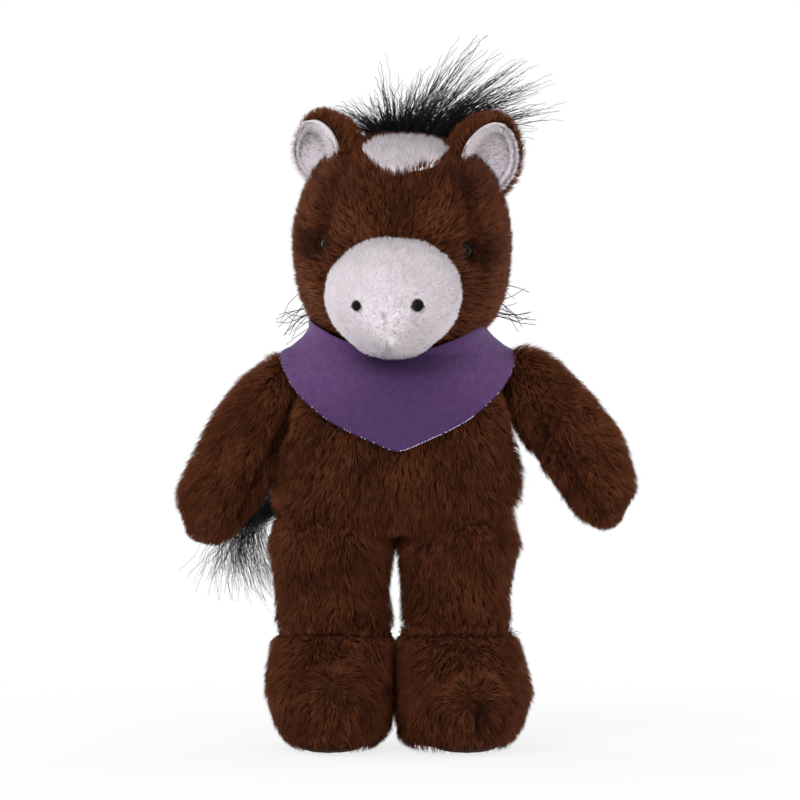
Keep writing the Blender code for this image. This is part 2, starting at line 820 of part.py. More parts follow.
make_ear(1, "left")
make_ear(-1, "right")

# Forelock: a tuft on the crown with locks that fan out, mostly to the toy's left

crown_z = head_lift + head_height
tuft_size = (forelock_half_width, forelock_half_depth, forelock_height / 3)
tuft = ball("forelock", (0.0, 0.0, crown_z), tuft_size, 16, 8)
forelock = piece("forelock", tuft, head_pivot, black_hair)
# Each lock: root across, root ahead, tip across, tip ahead, tip height, as shares
forelock_shares = [
    (-0.55, 0.0, -0.62, -0.10, 0.62),
    (-0.35, 0.3, -0.28, 0.20, 0.86),
    (-0.10, -0.3, -0.02, -0.15, 0.78),
    (0.10, 0.2, 0.28, 0.10, 1.00),
    (0.30, -0.2, 0.55, -0.12, 0.96),
    (0.45, 0.2, 0.80, 0.12, 0.94),
    (0.60, 0.0, 1.00, 0.00, 0.84),
]
lock_taper_shares = [1.0, 0.95, 0.75, 0.45, 0.12]
forelock_bow_share = 0.12
forelock_locks = []
for number, (root_x, root_y, tip_x, tip_y, tip_z) in enumerate(forelock_shares):
    start = (forelock_half_width * root_x, forelock_half_depth * root_y, crown_z)
    end = (forelock_spread * tip_x, forelock_spread * tip_y, crown_z + forelock_height * tip_z)
    path = bent_path(start, end, (0.0, 0.0, forelock_height * forelock_bow_share), len(lock_taper_shares))
    taper = [lock_radius * share for share in lock_taper_shares]
    forelock_locks.append(lock_mesh(f"forelock_lock_{number}", path, taper))
fuse(forelock, "forelock_locks", forelock_locks, head_pivot)
cut(forelock, head_room)

# Mane: a hair strip from the crown down the back of the head to the nape

mane_shares = [
    # height, distance back, half width and thickness as shares
    (0.04, 0.84, 0.80, 0.60),
    (0.26, 1.02, 1.00, 0.95),
    (0.54, 1.05, 0.90, 1.00),
    (0.80, 0.90, 0.76, 1.00),
    (0.96, 0.58, 0.58, 0.85),
]
mane_reach = crown_z + mane_thickness / 2 - mane_nape_height
mane_rows = [(mane_nape_height + level * mane_reach, 0.0, head_back_depth * behind, mane_half_width * wide,
              mane_half_width * wide, mane_thickness * thick, mane_thickness * thick / 2)
             for level, behind, wide, thick in mane_shares]
mane_rows.insert(0, (mane_nape_height, 0.0, mane_rows[0][2], 0.0, 0.0, 0.0, 0.0))
mane_rows.append((mane_nape_height + mane_reach, 0.0, mane_rows[-1][2], 0.0, 0.0, 0.0, 0.0))
mane_form = soft_form("mane_form", mane_rows, sides=8, fullness=2.0)
mane = subdivide(piece("mane", mane_form, head_pivot, black_hair))
cut(mane, head_room)

# Tail: a cloth tab on the back, and the hair that swings from it

tail_z = torso_low + tail_height
behind_tail = Vector((-tail_aside, torso_back_depth + cut_overrun, tail_z))
tail_seat, _ = find_on_torso(behind_tail, -backwards)
tab_end = tail_seat + Vector((0.0, tail_tab_length, 0.0))
torso_room = swell(subdivide(guide("torso_room", torso_form, root)), sewn_gap)
tab_start = tail_seat - Vector((0.0, tail_tab_length / 2, 0.0))
tab = piece("tail_base", cylinder("tail_base", tab_start, tab_end, tail_tab_radius, 16), root, brown_fur)
cut(tab, torso_room)
tail_joint = tab_end + Vector((0.0, tail_root_radius + sewn_gap, 0.0))
tail_pivot = pivot("tail_pivot", tail_joint, root)
tail_root = ball("tail_hair", (0.0, 0.0, 0.0), [tail_root_radius] * 3, 12, 8)
tail = piece("tail_hair", tail_root, tail_pivot, black_hair)
# Each lock's tip: aside, behind, height as shares of the tail's length
tail_tip_shares = [
    (-1.00, 0.02, -0.28),
    (-0.92, 0.10, -0.44),
    (-0.80, 0.05, -0.56),
    (-0.64, 0.12, -0.60),
]
tail_taper_shares = [0.64, 0.9, 1.0, 0.7, 0.15]
tail_bow_shares = (0.0, 0.05, 0.10)
tail_locks = []
for number, (aside, behind, lower) in enumerate(tail_tip_shares):
    end = (tail_length * aside, tail_length * behind, tail_length * lower)
    bow = [tail_length * share for share in tail_bow_shares]
    path = bent_path((0.0, 0.0, 0.0), end, bow, len(tail_taper_shares))
    taper = [tail_lock_radius * share for share in tail_taper_shares]
    tail_locks.append(lock_mesh(f"tail_lock_{number}", path, taper))
fuse(tail, "tail_locks", tail_locks, tail_pivot)

# Neckerchief: a band round the neck whose front hangs to a point

around_steps = 24
down_steps = 4
neckline_z = torso_top - neckline_drop
kerchief_fullness = 2.6
bib_slope_share = 0.55
bib_wrap = 7
bib_low = neckline_z + bib_top_rise - bib_side_rise / 2 - bib_drop


def torso_reach(z):
    """How far the torso reaches ahead and behind at height z, read between its rows."""
    rows = torso_rows[1:-1]
    for lower, upper in zip(rows, rows[1:]):
        if lower[0] <= z <= upper[0]:
            share = (z - lower[0]) / (upper[0] - lower[0])
            return [here + (above - here) * share for here, above in zip(lower[-2:], upper[-2:])]
    return rows[-1][-2:] if z > rows[-1][0] else rows[0][-2:]


def kerchief_row(angle, share):
    """A point of the cloth, share 0 at its neckline and 1 at its lower edge."""
    front_facing = cos(angle) > 0
    side_share = sin(angle) ** 4
    top_z = neckline_z + (bib_top_rise - neckline_drop) * side_share
    side_low = neckline_z + bib_side_rise / 2
    across = abs(sin(angle)) ** (2 / kerchief_fullness)
    if front_facing:
        fall = 1 - bib_slope_share * across - (1 - bib_slope_share) * across ** bib_wrap
        low_z = side_low + (bib_low - side_low) * fall
    else:
        low_z = side_low + (neckline_z - back_band - side_low) * cos(angle) ** 2
    z = top_z + (low_z - top_z) * share
    over = min(1.0, max(0.0, (top_z - z) / (bib_top_rise - neckline_drop)))
    half_width = neckline_width + (chest_side + bib_shoulder_out - neckline_width) * over
    front, back = torso_reach(z)
    if front_facing:
        depth = max(neckline_front, front + drape_gap)
    else:
        depth = max(neckline_back, back + drape_gap)
    ahead = copysign(abs(cos(angle)) ** (2 / kerchief_fullness), cos(angle))
    return Vector((half_width * copysign(across, sin(angle)), -depth * ahead, z))


kerchief_shape = bmesh.new()
kerchief_grid = []
for step in range(around_steps):
    angle = 2 * pi * step / around_steps
    column = [kerchief_row(angle, row / (down_steps - 1)) for row in range(down_steps)]
    kerchief_grid.append([kerchief_shape.verts.new(point) for point in column])
for step in range(around_steps):
    here, after = kerchief_grid[step], kerchief_grid[(step + 1) % around_steps]
    for row in range(down_steps - 1):
        kerchief_shape.faces.new((here[row], here[row + 1], after[row + 1], after[row]))
kerchief_mesh = bpy.data.meshes.new("neckerchief")
kerchief_shape.to_mesh(kerchief_mesh)
kerchief_shape.free()
kerchief = subdivide(piece("neckerchief", kerchief_mesh, root, purple_cloth))
hollow(kerchief, cloth_thickness, outwards=True)
cut(kerchief, torso_room)
for side in (1, -1):
    cut(kerchief, socket_bar(f"kerchief_clearance_{side}", plug_x, shoulder_sweep + running_gap, side))

# Knot of the neckerchief behind the neck, with its two ends

knot_z = neckline_z - back_band / 2
knot_y = torso_reach(knot_z)[1] + drape_gap + cloth_thickness + knot_half_depth + sewn_gap
knot_size = (knot_half_width, knot_half_depth, knot_half_height)
knot_ball = ball("neckerchief_knot", (0.0, knot_y, knot_z), knot_size)
knot = piece("neckerchief_knot", knot_ball, root, purple_cloth)
knot_root_share = 0.3
knot_fall_shares = (0.62, 0.18, -0.75)
# Each row of a hanging end: height from its tip, half width and half thickness as shares
knot_end_shares = [
    (0.05, 0.90, 1.0),
    (0.45, 1.00, 1.0),
    (0.90, 0.38, 1.5),
]
knot_ends = []
for side in (1, -1):
    start = Vector((side * knot_half_width * knot_root_share, knot_y, knot_z))
    fall = Vector(knot_fall_shares) * knot_end_length
    end = start + Vector((side * fall.x, fall.y, fall.z))
    end_rows = [(0.0, 0.0, 0.0, 0.0, 0.0, 0.0, 0.0)]
    for level, wide, thick in knot_end_shares:
        end_rows.append((knot_end_length * level, 0.0, 0.0, knot_end_width * wide, knot_end_width * wide,
                         cloth_thickness * thick, cloth_thickness * thick))
    end_rows.append((knot_end_length, 0.0, 0.0, 0.0, 0.0, 0.0, 0.0))
    end_form = soft_form(f"knot_end_{side}", end_rows, sides=8)
    swing = (start - end).to_track_quat("Z", "Y").to_matrix().to_4x4()
    end_form.transform(Matrix.Translation(end) @ swing)
    knot_ends.append(end_form)
fuse(knot, "knot_ends", knot_ends, root)

# The whole toy stands with the middle of its box over the origin


def toy_box():
    graph = bpy.context.evaluated_depsgraph_get()
    points = []
    for part in horse.all_objects:
        if part.type == "MESH":
            shown = part.evaluated_get(graph)
            mesh = shown.to_mesh()
            points += [shown.matrix_world @ vertex.co for vertex in mesh.vertices]
    low = [min(point[axis] for point in points) for axis in range(3)]
    high = [max(point[axis] for point in points) for axis in range(3)]
    return low, high


toy_low, toy_high = toy_box()
root.location = (-(toy_low[0] + toy_high[0]) / 2, -(toy_low[1] + toy_high[1]) / 2, 0.0)
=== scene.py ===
# The look of the plush horse: fur, pile, wiry hair and cloth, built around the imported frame
import json
import math

import bpy
import numpy as np
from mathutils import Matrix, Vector
from mathutils.bvhtree import BVHTree
from mathutils.kdtree import KDTree

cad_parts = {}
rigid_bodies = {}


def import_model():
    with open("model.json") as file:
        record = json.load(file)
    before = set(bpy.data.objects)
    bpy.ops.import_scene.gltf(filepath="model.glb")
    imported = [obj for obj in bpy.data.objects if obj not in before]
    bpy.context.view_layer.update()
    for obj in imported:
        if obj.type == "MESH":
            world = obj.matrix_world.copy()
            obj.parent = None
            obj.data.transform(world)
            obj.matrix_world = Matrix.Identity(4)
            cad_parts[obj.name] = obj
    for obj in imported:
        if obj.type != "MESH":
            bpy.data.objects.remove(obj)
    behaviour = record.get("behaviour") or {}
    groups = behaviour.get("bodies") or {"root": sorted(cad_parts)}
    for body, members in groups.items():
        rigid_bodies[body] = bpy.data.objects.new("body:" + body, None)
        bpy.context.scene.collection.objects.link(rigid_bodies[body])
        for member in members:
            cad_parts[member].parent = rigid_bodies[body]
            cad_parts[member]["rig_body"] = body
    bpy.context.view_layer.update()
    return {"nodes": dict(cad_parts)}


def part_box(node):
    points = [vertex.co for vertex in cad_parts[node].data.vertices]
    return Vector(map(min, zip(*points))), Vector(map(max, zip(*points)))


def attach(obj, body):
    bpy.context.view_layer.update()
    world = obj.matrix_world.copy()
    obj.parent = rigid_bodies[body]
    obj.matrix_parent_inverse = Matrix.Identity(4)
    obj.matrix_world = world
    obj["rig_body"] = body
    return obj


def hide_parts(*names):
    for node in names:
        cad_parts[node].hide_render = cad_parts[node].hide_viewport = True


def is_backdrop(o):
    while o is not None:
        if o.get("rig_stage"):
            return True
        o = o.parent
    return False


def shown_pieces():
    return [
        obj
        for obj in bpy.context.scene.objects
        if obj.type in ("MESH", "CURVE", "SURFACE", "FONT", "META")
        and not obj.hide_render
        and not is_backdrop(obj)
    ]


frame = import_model()
nodes = frame["nodes"]
mm = 0.001

# the photograph: millimetres in a pixel, and the pixels that lie over the soles and the middle
photo = {"pixel": 0.3864 * mm, "middleX": 398, "soleY": 748, "shiftX": -2.184 * mm}


def photoX(px):
    return (px - photo["middleX"]) * photo["pixel"] + photo["shiftX"]


def photoZ(py):
    return (photo["soleY"] - py) * photo["pixel"]


def seenPixels(points):
    # the photograph's pixel over each place, by the camera's distance and elevation
    tilt = math.radians(2.0)
    offset = points - np.array([photoX(400), 0, 134.5 * mm])
    away = offset[:, 1] * math.cos(tilt) - offset[:, 2] * math.sin(tilt)
    upward = offset[:, 1] * math.sin(tilt) + offset[:, 2] * math.cos(tilt)
    nearer = 2.0 / (2.0 + away) / photo["pixel"]
    return 400 + offset[:, 0] * nearer, 400 - upward * nearer


# small helpers


def unit(vectors):
    return vectors / np.maximum(np.linalg.norm(vectors, axis=-1, keepdims=True), 1e-9)


def dot(a, b):
    return (a * b).sum(-1, keepdims=True)


def alongSurface(direction, normal):
    return unit(direction - dot(direction, normal) * normal)


def smoothStep(value, low, high):
    share = np.clip((value - low) / (high - low), 0, 1)
    return share * share * (3 - 2 * share)


def softNoise(points, size, seed, waves=9):
    # a smooth random value for each point, about -1 to 1
    draw = np.random.default_rng(seed)
    total = np.zeros(len(points))
    for _ in range(waves):
        direction = unit(draw.normal(size=3))
        wave = size * draw.uniform(0.7, 1.6)
        total += np.sin(points @ direction * (2 * np.pi / wave) + draw.uniform(0, 6.28))
    return total / waves * 1.9


def readPoints(mesh):
    points = np.empty(len(mesh.vertices) * 3)
    mesh.vertices.foreach_get("co", points)
    return points.reshape(-1, 3)


def writePoints(mesh, points):
    mesh.vertices.foreach_set("co", np.asarray(points, np.float32).ravel())
    mesh.update()


def readNormals(mesh):
    normals = np.empty(len(mesh.vertices) * 3)
    mesh.vertex_normals.foreach_get("vector", normals)
    return normals.reshape(-1, 3)


def treeOf(piece):
    corners = [v.co for v in piece.data.vertices]
    return BVHTree.FromPolygons(corners, [tuple(f.vertices) for f in piece.data.polygons])


def deselectAll():
    bpy.ops.object.select_all(action="DESELECT")


def takeUp(piece):
    deselectAll()
    piece.select_set(True)
    bpy.context.view_layer.objects.active = piece


def addObject(name, data):
    piece = bpy.data.objects.new(name, data)
    bpy.context.scene.collection.objects.link(piece)
    return piece


def addModifier(piece, kind, **settings):
    modifier = piece.modifiers.new(kind.lower(), kind)
    for setting, value in settings.items():
        setattr(modifier, setting, value)
    return modifier


def applyModifiers(piece):
    takeUp(piece)
    for modifier in list(piece.modifiers):
        bpy.ops.object.modifier_apply(modifier=modifier.name)


def placeMesh(piece):
    # the piece's place goes into its mesh, and its object to the origin
    takeUp(piece)
    bpy.ops.object.transform_apply(location=True, rotation=True, scale=True)


def copyNode(node, name):
    # a copy of a CAD node's mesh, its corners joined
    piece = addObject(name, nodes[node].data.copy())
    addModifier(piece, "WELD", merge_threshold=0.01 * mm)
    applyModifiers(piece)
    return piece


def finishPiece(piece, material, body, replaced=()):
    piece.data.materials.clear()
    piece.data.materials.append(material)
    piece.data.shade_smooth()
    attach(piece, body)
    if replaced:
        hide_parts(*replaced)
    return piece


# materials


def newGroup(name, inputs, outputs):
    group = bpy.data.node_groups.new(name, "ShaderNodeTree")
    for socketName, kind, value in inputs:
        socket = group.interface.new_socket(socketName, in_out="INPUT", socket_type=kind)
        socket.default_value = value
    for socketName, kind in outputs:
        group.interface.new_socket(socketName, in_out="OUTPUT", socket_type=kind)
    return group, group.nodes.new("NodeGroupInput"), group.nodes.new("NodeGroupOutput")


def addNode(tree, kind, inputs=(), **settings):
    # a shader node with its settings; each input is a plain value or the socket that feeds it
    node = tree.nodes.new("ShaderNode" + kind)
    for setting, value in settings.items():
        setattr(node, setting, value)
    for socket, source in dict(inputs).items():
        if isinstance(source, bpy.types.NodeSocket):
            tree.links.new(source, node.inputs[socket])
        else:
            node.inputs[socket].default_value = source
    return node


def mixColours(tree, factor, a, b, blend="MIX"):
    inputs = {"Factor": factor, "A": a, "B": b}
    return addNode(tree, "Mix", inputs, data_type="RGBA", blend_type=blend).outputs["Result"]


def calculate(tree, operation, *values):
    return addNode(tree, "Math", dict(enumerate(values)), operation=operation).outputs["Value"]


def mapRange(tree, value, low, high, lowest=0.0, **settings):
    inputs = {"Value": value, "From Min": low, "From Max": high, "To Min": lowest}
    return addNode(tree, "MapRange", inputs, **settings).outputs["Result"]


def makeStrandGroup():
    # a strand's colour from its own map: across is its tone, up is the way from root to tip
    group, given, result = newGroup(
        "strandColour",
        [
            ("Dark", "NodeSocketColor", (0.02, 0.01, 0.01, 1)),
            ("Middle", "NodeSocketColor", (0.1, 0.04, 0.02, 1)),
            ("Light", "NodeSocketColor", (0.3, 0.15, 0.1, 1)),
            ("Root Shade", "NodeSocketFloat", 0.4),
        ],
        [("Colour", "NodeSocketColor")],
    )
    place = addNode(group, "UVMap", uv_map="OFBake")
    split = addNode(group, "SeparateXYZ", {"Vector": place.outputs["UV"]})
    lower = mapRange(group, split.outputs["X"], 0.0, 0.5)
    upper = mapRange(group, split.outputs["X"], 0.5, 1.0)
    darkMix = mixColours(group, lower, given.outputs["Dark"], given.outputs["Middle"])
    lightMix = mixColours(group, upper, darkMix, given.outputs["Light"])
    # painted shade: each strand is darker towards its root, by the Root Shade share, and full colour near its tip
    rise = mapRange(group, split.outputs["Y"], 0.0, 0.85, given.outputs["Root Shade"])
    grey = addNode(group, "CombineColor", {"Red": rise, "Green": rise, "Blue": rise})
    shade = mixColours(group, 1.0, lightMix, grey.outputs["Color"], "MULTIPLY")
    group.links.new(shade, result.inputs["Colour"])
    return group


def makeMottleGroup():
    # a grain of two sizes on Object coordinates: a colour and a height
    group, given, result = newGroup(
        "fineMottle",
        [
            ("Base", "NodeSocketColor", (0.1, 0.1, 0.1, 1)),
            ("Fleck", "NodeSocketColor", (0.2, 0.2, 0.2, 1)),
            ("Grain", "NodeSocketFloat", 900.0),
            ("Patch", "NodeSocketFloat", 60.0),
        ],
        [("Colour", "NodeSocketColor"), ("Height", "NodeSocketFloat")],
    )
    place = addNode(group, "TexCoord").outputs["Object"]
    fine = addNode(group, "TexNoise", {"Vector": place, "Scale": given.outputs["Grain"], "Detail": 3.0})
    coarse = addNode(group, "TexNoise", {"Vector": place, "Scale": given.outputs["Patch"]})
    part = calculate(group, "MULTIPLY", coarse.outputs["Fac"], 0.4)
    both = calculate(group, "MULTIPLY_ADD", fine.outputs["Fac"], 0.6, part)
    reach = mapRange(group, both, 0.35, 0.65)
    colours = mixColours(group, reach, given.outputs["Base"], given.outputs["Fleck"])
    group.links.new(colours, result.inputs["Colour"])
    group.links.new(fine.outputs["Fac"], result.inputs["Height"])
    return group


strandGroup = makeStrandGroup()
mottleGroup = makeMottleGroup()


def newMaterial(name, roughness, **finish):
    material = bpy.data.materials.new(name)
    material.use_nodes = True
    shader = material.node_tree.nodes["Principled BSDF"]
    shader.inputs["Roughness"].default_value = roughness
    for socketName, value in finish.items():
        shader.inputs[socketName.replace("_", " ")].default_value = value
    return material, material.node_tree, shader


def strandMaterial(name, dark, middle, light, rootShade, roughness, **finish):
    material, tree, shader = newMaterial(name, roughness, **finish)
    values = {"Dark": (*dark, 1), "Middle": (*middle, 1), "Light": (*light, 1), "Root Shade": rootShade}
    colour = addNode(tree, "Group", values, node_tree=strandGroup)
    tree.links.new(colour.outputs["Colour"], shader.inputs["Base Color"])
    return material


def coat(tree, shader, group, values, bump, depth):
    # a group's colour and height over a material's surface
    grain = addNode(tree, "Group", values, node_tree=group)
    raised = addNode(tree, "Bump", {"Strength": bump, "Distance": depth, "Height": grain.outputs["Height"]})
    tree.links.new(grain.outputs["Colour"], shader.inputs["Base Color"])
    tree.links.new(raised.outputs["Normal"], shader.inputs["Normal"])


def mottleMaterial(name, base, fleck, grain, patch, roughness, bump=0.3, depth=0.2 * mm, **finish):
    material, tree, shader = newMaterial(name, roughness, **finish)
    values = {"Base": (*base, 1), "Fleck": (*fleck, 1), "Grain": grain, "Patch": patch}
    coat(tree, shader, mottleGroup, values, bump, depth)
    return material


furLook = strandMaterial(
    "brownFurStrands",
    dark=(0.043, 0.0125, 0.006),
    middle=(0.160, 0.045, 0.0175),
    light=(0.30, 0.098, 0.040),
    rootShade=0.46,
    roughness=0.7,
    Specular_IOR_Level=0.08,
)
pileLook = strandMaterial(
    "whitePileStrands",
    dark=(0.52, 0.46, 0.48),
    middle=(0.95, 0.875, 0.925),
    light=(1.0, 0.935, 0.98),
    rootShade=0.94,
    roughness=0.8,
    Specular_IOR_Level=0.15,
)
wireLook = strandMaterial(
    "wiryBlackHair",
    dark=(0.004, 0.004, 0.005),
    middle=(0.010, 0.010, 0.013),
    light=(0.035, 0.035, 0.045),
    rootShade=0.7,
    roughness=0.45,
    Specular_IOR_Level=0.14,
)
backingLook = mottleMaterial(
    "brownFurBacking", (0.024, 0.0075, 0.004), (0.055, 0.018, 0.008), 700, 45, 0.9, 0.5, 0.4 * mm,
    Specular_IOR_Level=0.04,
)
whiteBackingLook = mottleMaterial(
    "whitePileBacking", (0.80, 0.75, 0.78), (0.88, 0.84, 0.87), 900, 60, 0.85, 0.4, 0.3 * mm
)
soleLook = mottleMaterial(
    "brownSoleNap", (0.03, 0.011, 0.006), (0.075, 0.027, 0.014), 1500, 90, 0.8, 0.6, 0.3 * mm,
    Sheen_Weight=0.3,
)
eyeLook = mottleMaterial(
    "blackEyePlastic", (0.003, 0.002, 0.002), (0.007, 0.004, 0.003), 500, 90, 0.08, 0.02, 0.02 * mm,
    Specular_IOR_Level=0.09,
)
threadLook = mottleMaterial(
    "blackStitchThread", (0.005, 0.004, 0.005), (0.014, 0.013, 0.014), 3500, 400, 0.6, 0.5, 0.08 * mm,
    Specular_IOR_Level=0.12,
)
washerLook = mottleMaterial(
    "washerPlastic", (0.66, 0.66, 0.63), (0.72, 0.72, 0.70), 600, 90, 0.4, 0.1, 0.05 * mm
)
pelletLook = mottleMaterial(
    "pelletBagCloth", (0.55, 0.53, 0.48), (0.68, 0.66, 0.6), 1800, 120, 0.85, 0.6, 0.2 * mm
)
overlockLook = mottleMaterial(
    "paleEdgeThread", (0.55, 0.50, 0.60), (0.75, 0.71, 0.79), 3000, 300, 0.6, 0.4, 0.08 * mm
)
print("materials ready")

# padded forms under the fur


def quadBall(name, cuts):
    deselectAll()
    bpy.ops.mesh.primitive_cube_add(size=2)
    ball = bpy.context.active_object
    ball.name = name
    bpy.ops.object.mode_set(mode="EDIT")
    bpy.ops.mesh.select_all(action="SELECT")
    bpy.ops.mesh.subdivide(number_cuts=cuts)
    bpy.ops.transform.tosphere(value=1)
    bpy.ops.object.mode_set(mode="OBJECT")
    return ball


def sliceReach(points, edges, level, axis):
    # the form's two sides at one height
    level = np.clip(level, points[:, 2].min() + 1.2 * mm, points[:, 2].max() - 1.2 * mm)
    a, b = points[edges[:, 0]], points[edges[:, 1]]
    crossing = (a[:, 2] - level) * (b[:, 2] - level) < 0
    a, b = a[crossing], b[crossing]
    side = a[:, axis] + (level - a[:, 2]) / (b[:, 2] - a[:, 2]) * (b[:, axis] - a[:, axis])
    return side.min(), side.max()


def fitOutline(mesh, axis, table):
    # draws a form out to the wanted sides: rows of height, low side and high side, in millimetres
    edges = np.array([edge.vertices[:] for edge in mesh.edges])
    points = readPoints(mesh)
    levels, scales, shifts = [], [], []
    for level, low, high in np.array(table, float) * mm:
        nowLow, nowHigh = sliceReach(points, edges, level, axis)
        scale = (high - low) / (nowHigh - nowLow)
        if scale > 1.45:  # too near the form's own end to be drawn out
            continue
        levels.append(level)
        scales.append(scale)
        shifts.append((high + low) / 2 - (nowHigh + nowLow) / 2 * scale)
    height = points[:, 2]
    points[:, axis] = points[:, axis] * np.interp(height, levels, scales) + np.interp(height, levels, shifts)
    writePoints(mesh, points)


def wrapNodes(
    name, nodeNames, cuts, inset, soleInset=None, outline=None, depth=None, lower=None, raised=None
):
    # a ball of quads drawn onto the outside of the nodes, then set in by the fur's depth
    trees = [treeOf(nodes[node]) for node in nodeNames]
    corners = np.array([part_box(node) for node in nodeNames])
    low, high = corners[:, 0].min(0), corners[:, 1].max(0)
    centre, half = (low + high) / 2, (high - low) / 2
    ball = quadBall(name, cuts)
    ways = unit(unit(readPoints(ball.data)) * half)
    reach = np.linalg.norm(half) * 1.5
    points = centre + ways * half.min()
    for index, way in enumerate(ways):
        start = Vector(centre + way * reach)
        hits = [tree.ray_cast(start, Vector(-way), reach) for tree in trees]
        hits = [hit for hit in hits if hit[0] is not None]
        if hits:
            points[index] = min(hits, key=lambda hit: hit[3])[0]
    writePoints(ball.data, points)
    addModifier(ball, "SMOOTH", factor=0.5, iterations=4)
    applyModifiers(ball)
    for change in (lower, raised):  # a stretch: from this height, over this much, by this much in mm
        if change:
            start, over, by = (value * mm for value in change)
            points = readPoints(ball.data)
            points[:, 2] += by * smoothStep((points[:, 2] - start) / over, 0, 1)
            writePoints(ball.data, points)
    if outline:
        fitOutline(ball.data, 0, outline)
    if depth:
        fitOutline(ball.data, 1, depth)
    points, normals = readPoints(ball.data), readNormals(ball.data)
    within = np.full(len(points), inset)
    if soleInset is not None:
        within += (soleInset - inset) * smoothStep(-normals[:, 2], 0.35, 0.75)
    writePoints(ball.data, points - normals * within[:, None])
    return ball


def plump(piece, pressure, cap):
    # stuffing pressure under the cloth, with a cap on how far a point may move
    before = readPoints(piece.data)
    takeUp(piece)
    cloth = addModifier(piece, "CLOTH")
    cloth.settings.quality = 4
    cloth.settings.use_pressure = True
    cloth.settings.uniform_pressure_force = pressure
    cloth.settings.effector_weights.gravity = 0
    cloth.point_cache.frame_end = 20
    for step in range(1, 21):
        bpy.context.scene.frame_set(step)
    bpy.ops.object.modifier_apply(modifier=cloth.name)
    moved = readPoints(piece.data) - before
    far = np.maximum(np.linalg.norm(moved, axis=1), 1e-9)
    writePoints(piece.data, before + moved * np.minimum(1, cap / far)[:, None])
    bpy.context.scene.frame_set(1)
    addModifier(piece, "SUBSURF", levels=1, render_levels=1)
    applyModifiers(piece)


def seamPull(points, normals, seams):
    # how strongly each point is drawn into a seam, 0 to 1: the seams' lines are in the photograph's pixels
    pull = np.zeros(len(points))
    for seam in seams:
        line = np.array([(photoX(px), photoZ(py)) for px, py in seam["line"]])
        flat = points[:, [0, 2]]
        far = np.full(len(points), 1.0)
        for start, end in zip(line, line[1:]):
            along = end - start
            share = np.clip((flat - start) @ along / (along @ along), 0, 1)
            far = np.minimum(far, np.linalg.norm(flat - start - share[:, None] * along, axis=1))
        facing = smoothStep(-normals[:, 1], 0.05, 0.35)
        pull = np.maximum(pull, seam.get("strength", 1) * facing * np.exp(-((far / seam["width"]) ** 2)))
    return pull


def sinkSeams(piece, seams, depth):
    points, normals = readPoints(piece.data), readNormals(piece.data)
    pull = seamPull(points, normals, seams)
    writePoints(piece.data, points - normals * (depth * pull)[:, None])


